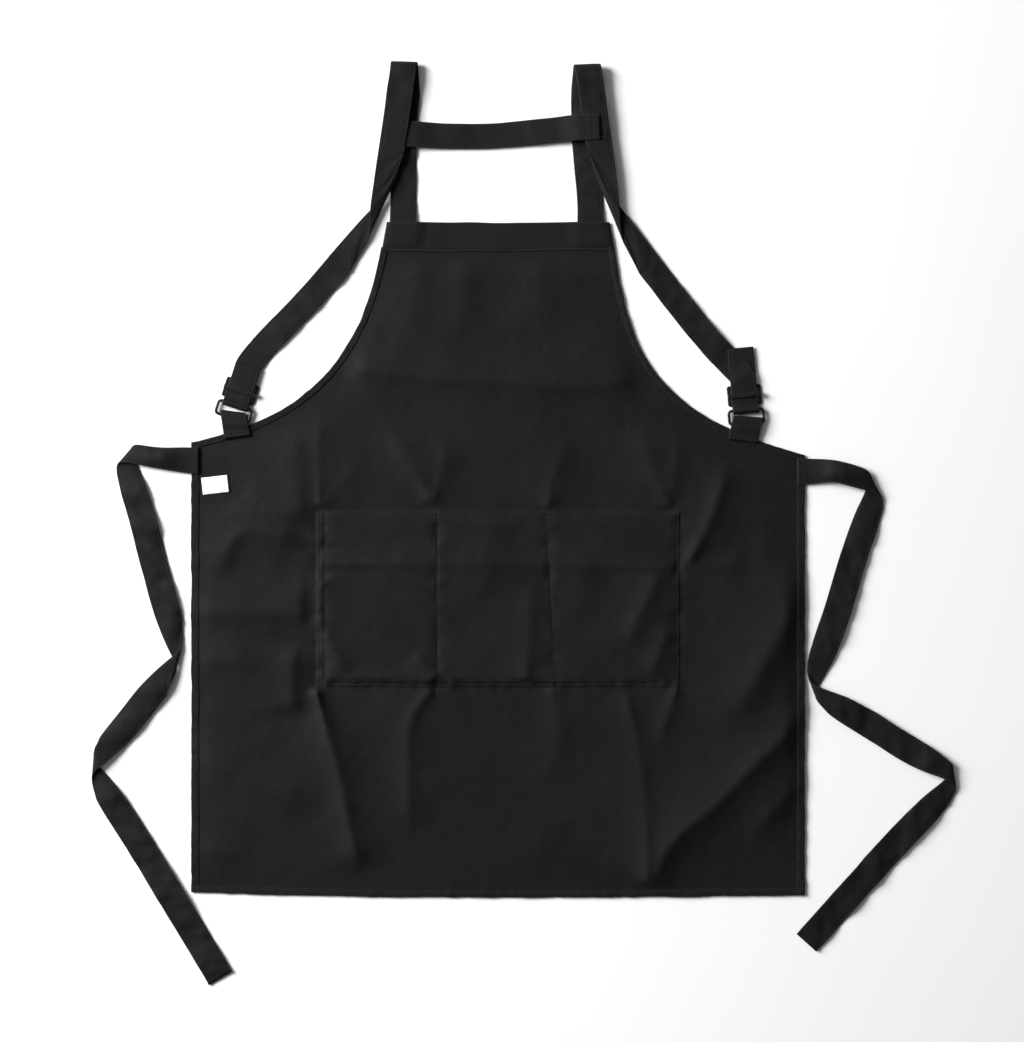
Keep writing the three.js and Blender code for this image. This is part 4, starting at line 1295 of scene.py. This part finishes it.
def care_label():
    """A blank satin label, held by one edge, with its free corner a little raised."""
    turn = math.radians(6.5)
    edge = np.array(joints["care_label_lift"]["pos_m"], float) / MM
    across, down = np.meshgrid(np.linspace(0, 30, 40), np.linspace(0, 19.5, 26))
    x = edge[0] + across * math.cos(turn) + down * math.sin(turn)
    y = edge[1] + across * math.sin(turn) - down * math.cos(turn)
    curl = 0.9 * ease(across / 30) ** 2 * (0.4 + 0.6 * ease(down / 19.5)) + 0.25 * swells(x, y, 12, 81)
    z = 2.25 + curl + 0.25 * hump(across - 4, 5)
    made = patch("label_cloth", x, y, z, 0.22, white_satin)
    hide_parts("care_label")
    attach(made, "care_label")
    column = [(x[k, 2], y[k, 2], z[k, 2] + 0.04) for k in range(1, x.shape[0] - 1)]
    sew("stitches_label", [(column, np.tile(UP, (len(column), 1)))], "care_label", ["seam_label"])
    return made


label = care_label()


# ---- Rings and sliders ----


RING = {"width": 43, "depth": 19, "corner": 5.4, "wall": 3.3, "thickness": 3.2}
SLIDER = {"width": 39, "depth": 23.4, "corner": 2.6, "wall": 3.3, "thickness": 1.7}
RING_LIFT = 3.4
SLIDER_RISE = 17


def open_plate(name, width, depth, corner, wall, thickness):
    """A flat frame with round corners: a plate with its window cut, then drawn up to its thickness."""
    bpy.ops.object.select_all(action="DESELECT")
    bpy.ops.mesh.primitive_plane_add(size=1, location=(0, 0, 0))
    made = bpy.context.object
    made.name = name
    made.data.name = name
    bpy.ops.object.mode_set(mode="EDIT")
    bpy.ops.mesh.select_all(action="SELECT")
    bpy.ops.transform.resize(value=(width * MM, depth * MM, 1))
    bpy.ops.mesh.bevel(offset=corner * MM, segments=6, affect="VERTICES")
    bpy.ops.mesh.inset(thickness=wall * MM, depth=0)
    bpy.ops.mesh.delete(type="FACE")
    bpy.ops.mesh.select_all(action="SELECT")
    bpy.ops.mesh.extrude_region_move(TRANSFORM_OT_translate={"value": (0, 0, thickness * MM)})
    bpy.ops.mesh.select_all(action="SELECT")
    bpy.ops.mesh.normals_make_consistent(inside=False)
    bpy.ops.object.mode_set(mode="OBJECT")
    return made


def round_off(piece, radius, segments):
    """Rounds every sharp edge and makes the faces smooth."""
    bevel = piece.modifiers.new("round", "BEVEL")
    bevel.width = radius * MM
    bevel.segments = segments
    bevel.limit_method = "ANGLE"
    bevel.angle_limit = math.radians(50)
    bpy.context.view_layer.objects.active = piece
    bpy.ops.object.modifier_apply(modifier="round")
    bpy.ops.object.select_all(action="DESELECT")
    piece.select_set(True)
    bpy.ops.object.shade_smooth_by_angle(angle=math.radians(40))
    piece.select_set(False)


def seat(piece, side, distance, height, body, nodes):
    """Turns a finished piece in line with its buckle, moves it there and hangs it on its body."""
    _, upper, up = buckle(side)
    centre = upper + up * distance
    turn = Matrix.Rotation(math.atan2(-up[0], up[1]), 4, "Z")
    place = Matrix.Translation(Vector((centre[0] * MM, centre[1] * MM, height * MM)))
    piece.data.transform(place @ turn)
    piece.data.materials.clear()
    piece.data.materials.append(polished_black)
    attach(piece, body)
    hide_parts(*nodes)
    return piece


def ring(side):
    made = open_plate(f"strap_ring_{side}", **RING)
    made.data.transform(Matrix.Translation((0, 0, -RING["thickness"] / 2 * MM)))
    round_off(made, 1.25, 4)
    return seat(made, side, -RING_SPACING / 2, RING_LIFT, f"ring_{side}", [f"ring_{side}"])


def bar(name, width, depth, low, high, x=0.0):
    """A straight bar of the slider: a box, each edge cut in three."""
    bpy.ops.object.select_all(action="DESELECT")
    bpy.ops.mesh.primitive_cube_add(size=1, location=(0, 0, 0))
    made = bpy.context.object
    made.name = name
    bpy.ops.object.mode_set(mode="EDIT")
    bpy.ops.mesh.select_all(action="SELECT")
    bpy.ops.transform.resize(value=(width * MM, depth * MM, (high - low) * MM))
    bpy.ops.transform.translate(value=(x * MM, 0, (high + low) / 2 * MM))
    bpy.ops.mesh.subdivide(number_cuts=2)
    bpy.ops.object.mode_set(mode="OBJECT")
    return made


def slider(side):
    """A strap adjuster: a flat frame with a raised middle bar."""
    made = open_plate(f"strap_slider_{side}", **SLIDER)
    round_off(made, 0.6, 3)
    width, wall = SLIDER["width"], SLIDER["wall"]
    bars = [bar("bridge", width, 5, 5.25, 6.85)]
    for sideways in (-1, 1):
        bars.append(bar("leg", wall, 5, 0.6, 6.4, sideways * (width - wall) / 2))
    for one in bars:
        round_off(one, 0.65, 3)
    bpy.ops.object.select_all(action="DESELECT")
    for one in [made, *bars]:
        one.select_set(True)
    bpy.context.view_layer.objects.active = made
    bpy.ops.object.join()
    made.select_set(False)
    return seat(made, side, SLIDER_RISE, 0, f"slider_{side}", [f"slider_{side}"])


for make in (ring, slider):
    for side in SIDES:
        make(side)


# ---- Floor, light and camera ----


def floor():
    bpy.ops.object.select_all(action="DESELECT")
    bpy.ops.mesh.primitive_plane_add(size=60, location=(0, 0, 0))
    ground = bpy.context.object
    ground.name = "floor"
    material, tree, shader = finish("pale_floor")
    place = tree.nodes.new("ShaderNodeTexCoord").outputs["Object"]
    cloud = ranged(tree, noise(tree, place, 1.2, 3), 0.3, 0.7)
    tone = mixed(tree, cloud, (0.86, 0.86, 0.865), (0.89, 0.89, 0.893))
    tree.links.new(tone, shader.inputs["Base Color"])
    shader.inputs["Roughness"].default_value = 0.8
    shader.inputs["Specular IOR Level"].default_value = 0.2
    ground.data.materials.append(material)
    ground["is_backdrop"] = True
    ground.location.z = -0.0002


def softbox(name, place, aim, width, height, power):
    light = bpy.data.lights.new(name, "AREA")
    light.shape = "RECTANGLE"
    light.size = width
    light.size_y = height
    light.energy = power
    lamp = bpy.data.objects.new(name, light)
    scene.collection.objects.link(lamp)
    lamp.location = place
    lamp.rotation_euler = (Vector(aim) - Vector(place)).to_track_quat("-Z", "Y").to_euler()


floor()
softbox("key", (-3.2, 1.5, 1.95), (0.1, 0.0, 0.0), 2.0, 2.0, 375)
# The sky glows on the key light's side and fades to the other; the camera itself sees plain white.
world = bpy.data.worlds.new("studio")
scene.world = world
world.use_nodes = True
sky = world.node_tree
towards = sky.nodes.new("ShaderNodeVectorMath")
towards.operation = "DOT_PRODUCT"
towards.inputs[1].default_value = (-0.82, 0.5, -0.28)
sky.links.new(sky.nodes.new("ShaderNodeTexCoord").outputs["Generated"], towards.inputs[0])
glow = ranged(sky, towards.outputs["Value"], -0.2, 0.75, 0.09, 0.9)
backdrop = sky.nodes.new("ShaderNodeMath")
backdrop.operation = "MAXIMUM"
sky.links.new(glow, backdrop.inputs[0])
sky.links.new(sky.nodes.new("ShaderNodeLightPath").outputs["Is Camera Ray"], backdrop.inputs[1])
sky.links.new(backdrop.outputs[0], sky.nodes["Background"].inputs["Strength"])
sky.nodes["Background"].inputs["Color"].default_value = (1, 1, 1, 1)

# The camera looks straight down.
camera = bpy.data.objects.new("camera", bpy.data.cameras.new("camera"))
scene.collection.objects.link(camera)
camera.data.lens = 100
camera.data.sensor_width = 36
camera.location = (0.0161, 0.0897, 3.3316)
camera.data.clip_end = 50
scene.camera = camera
scene.view_settings.view_transform = "Standard"

size = {
    "cad": [list(corner) for corner in cad_box],
    "visual": [list(corner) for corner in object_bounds()],
}
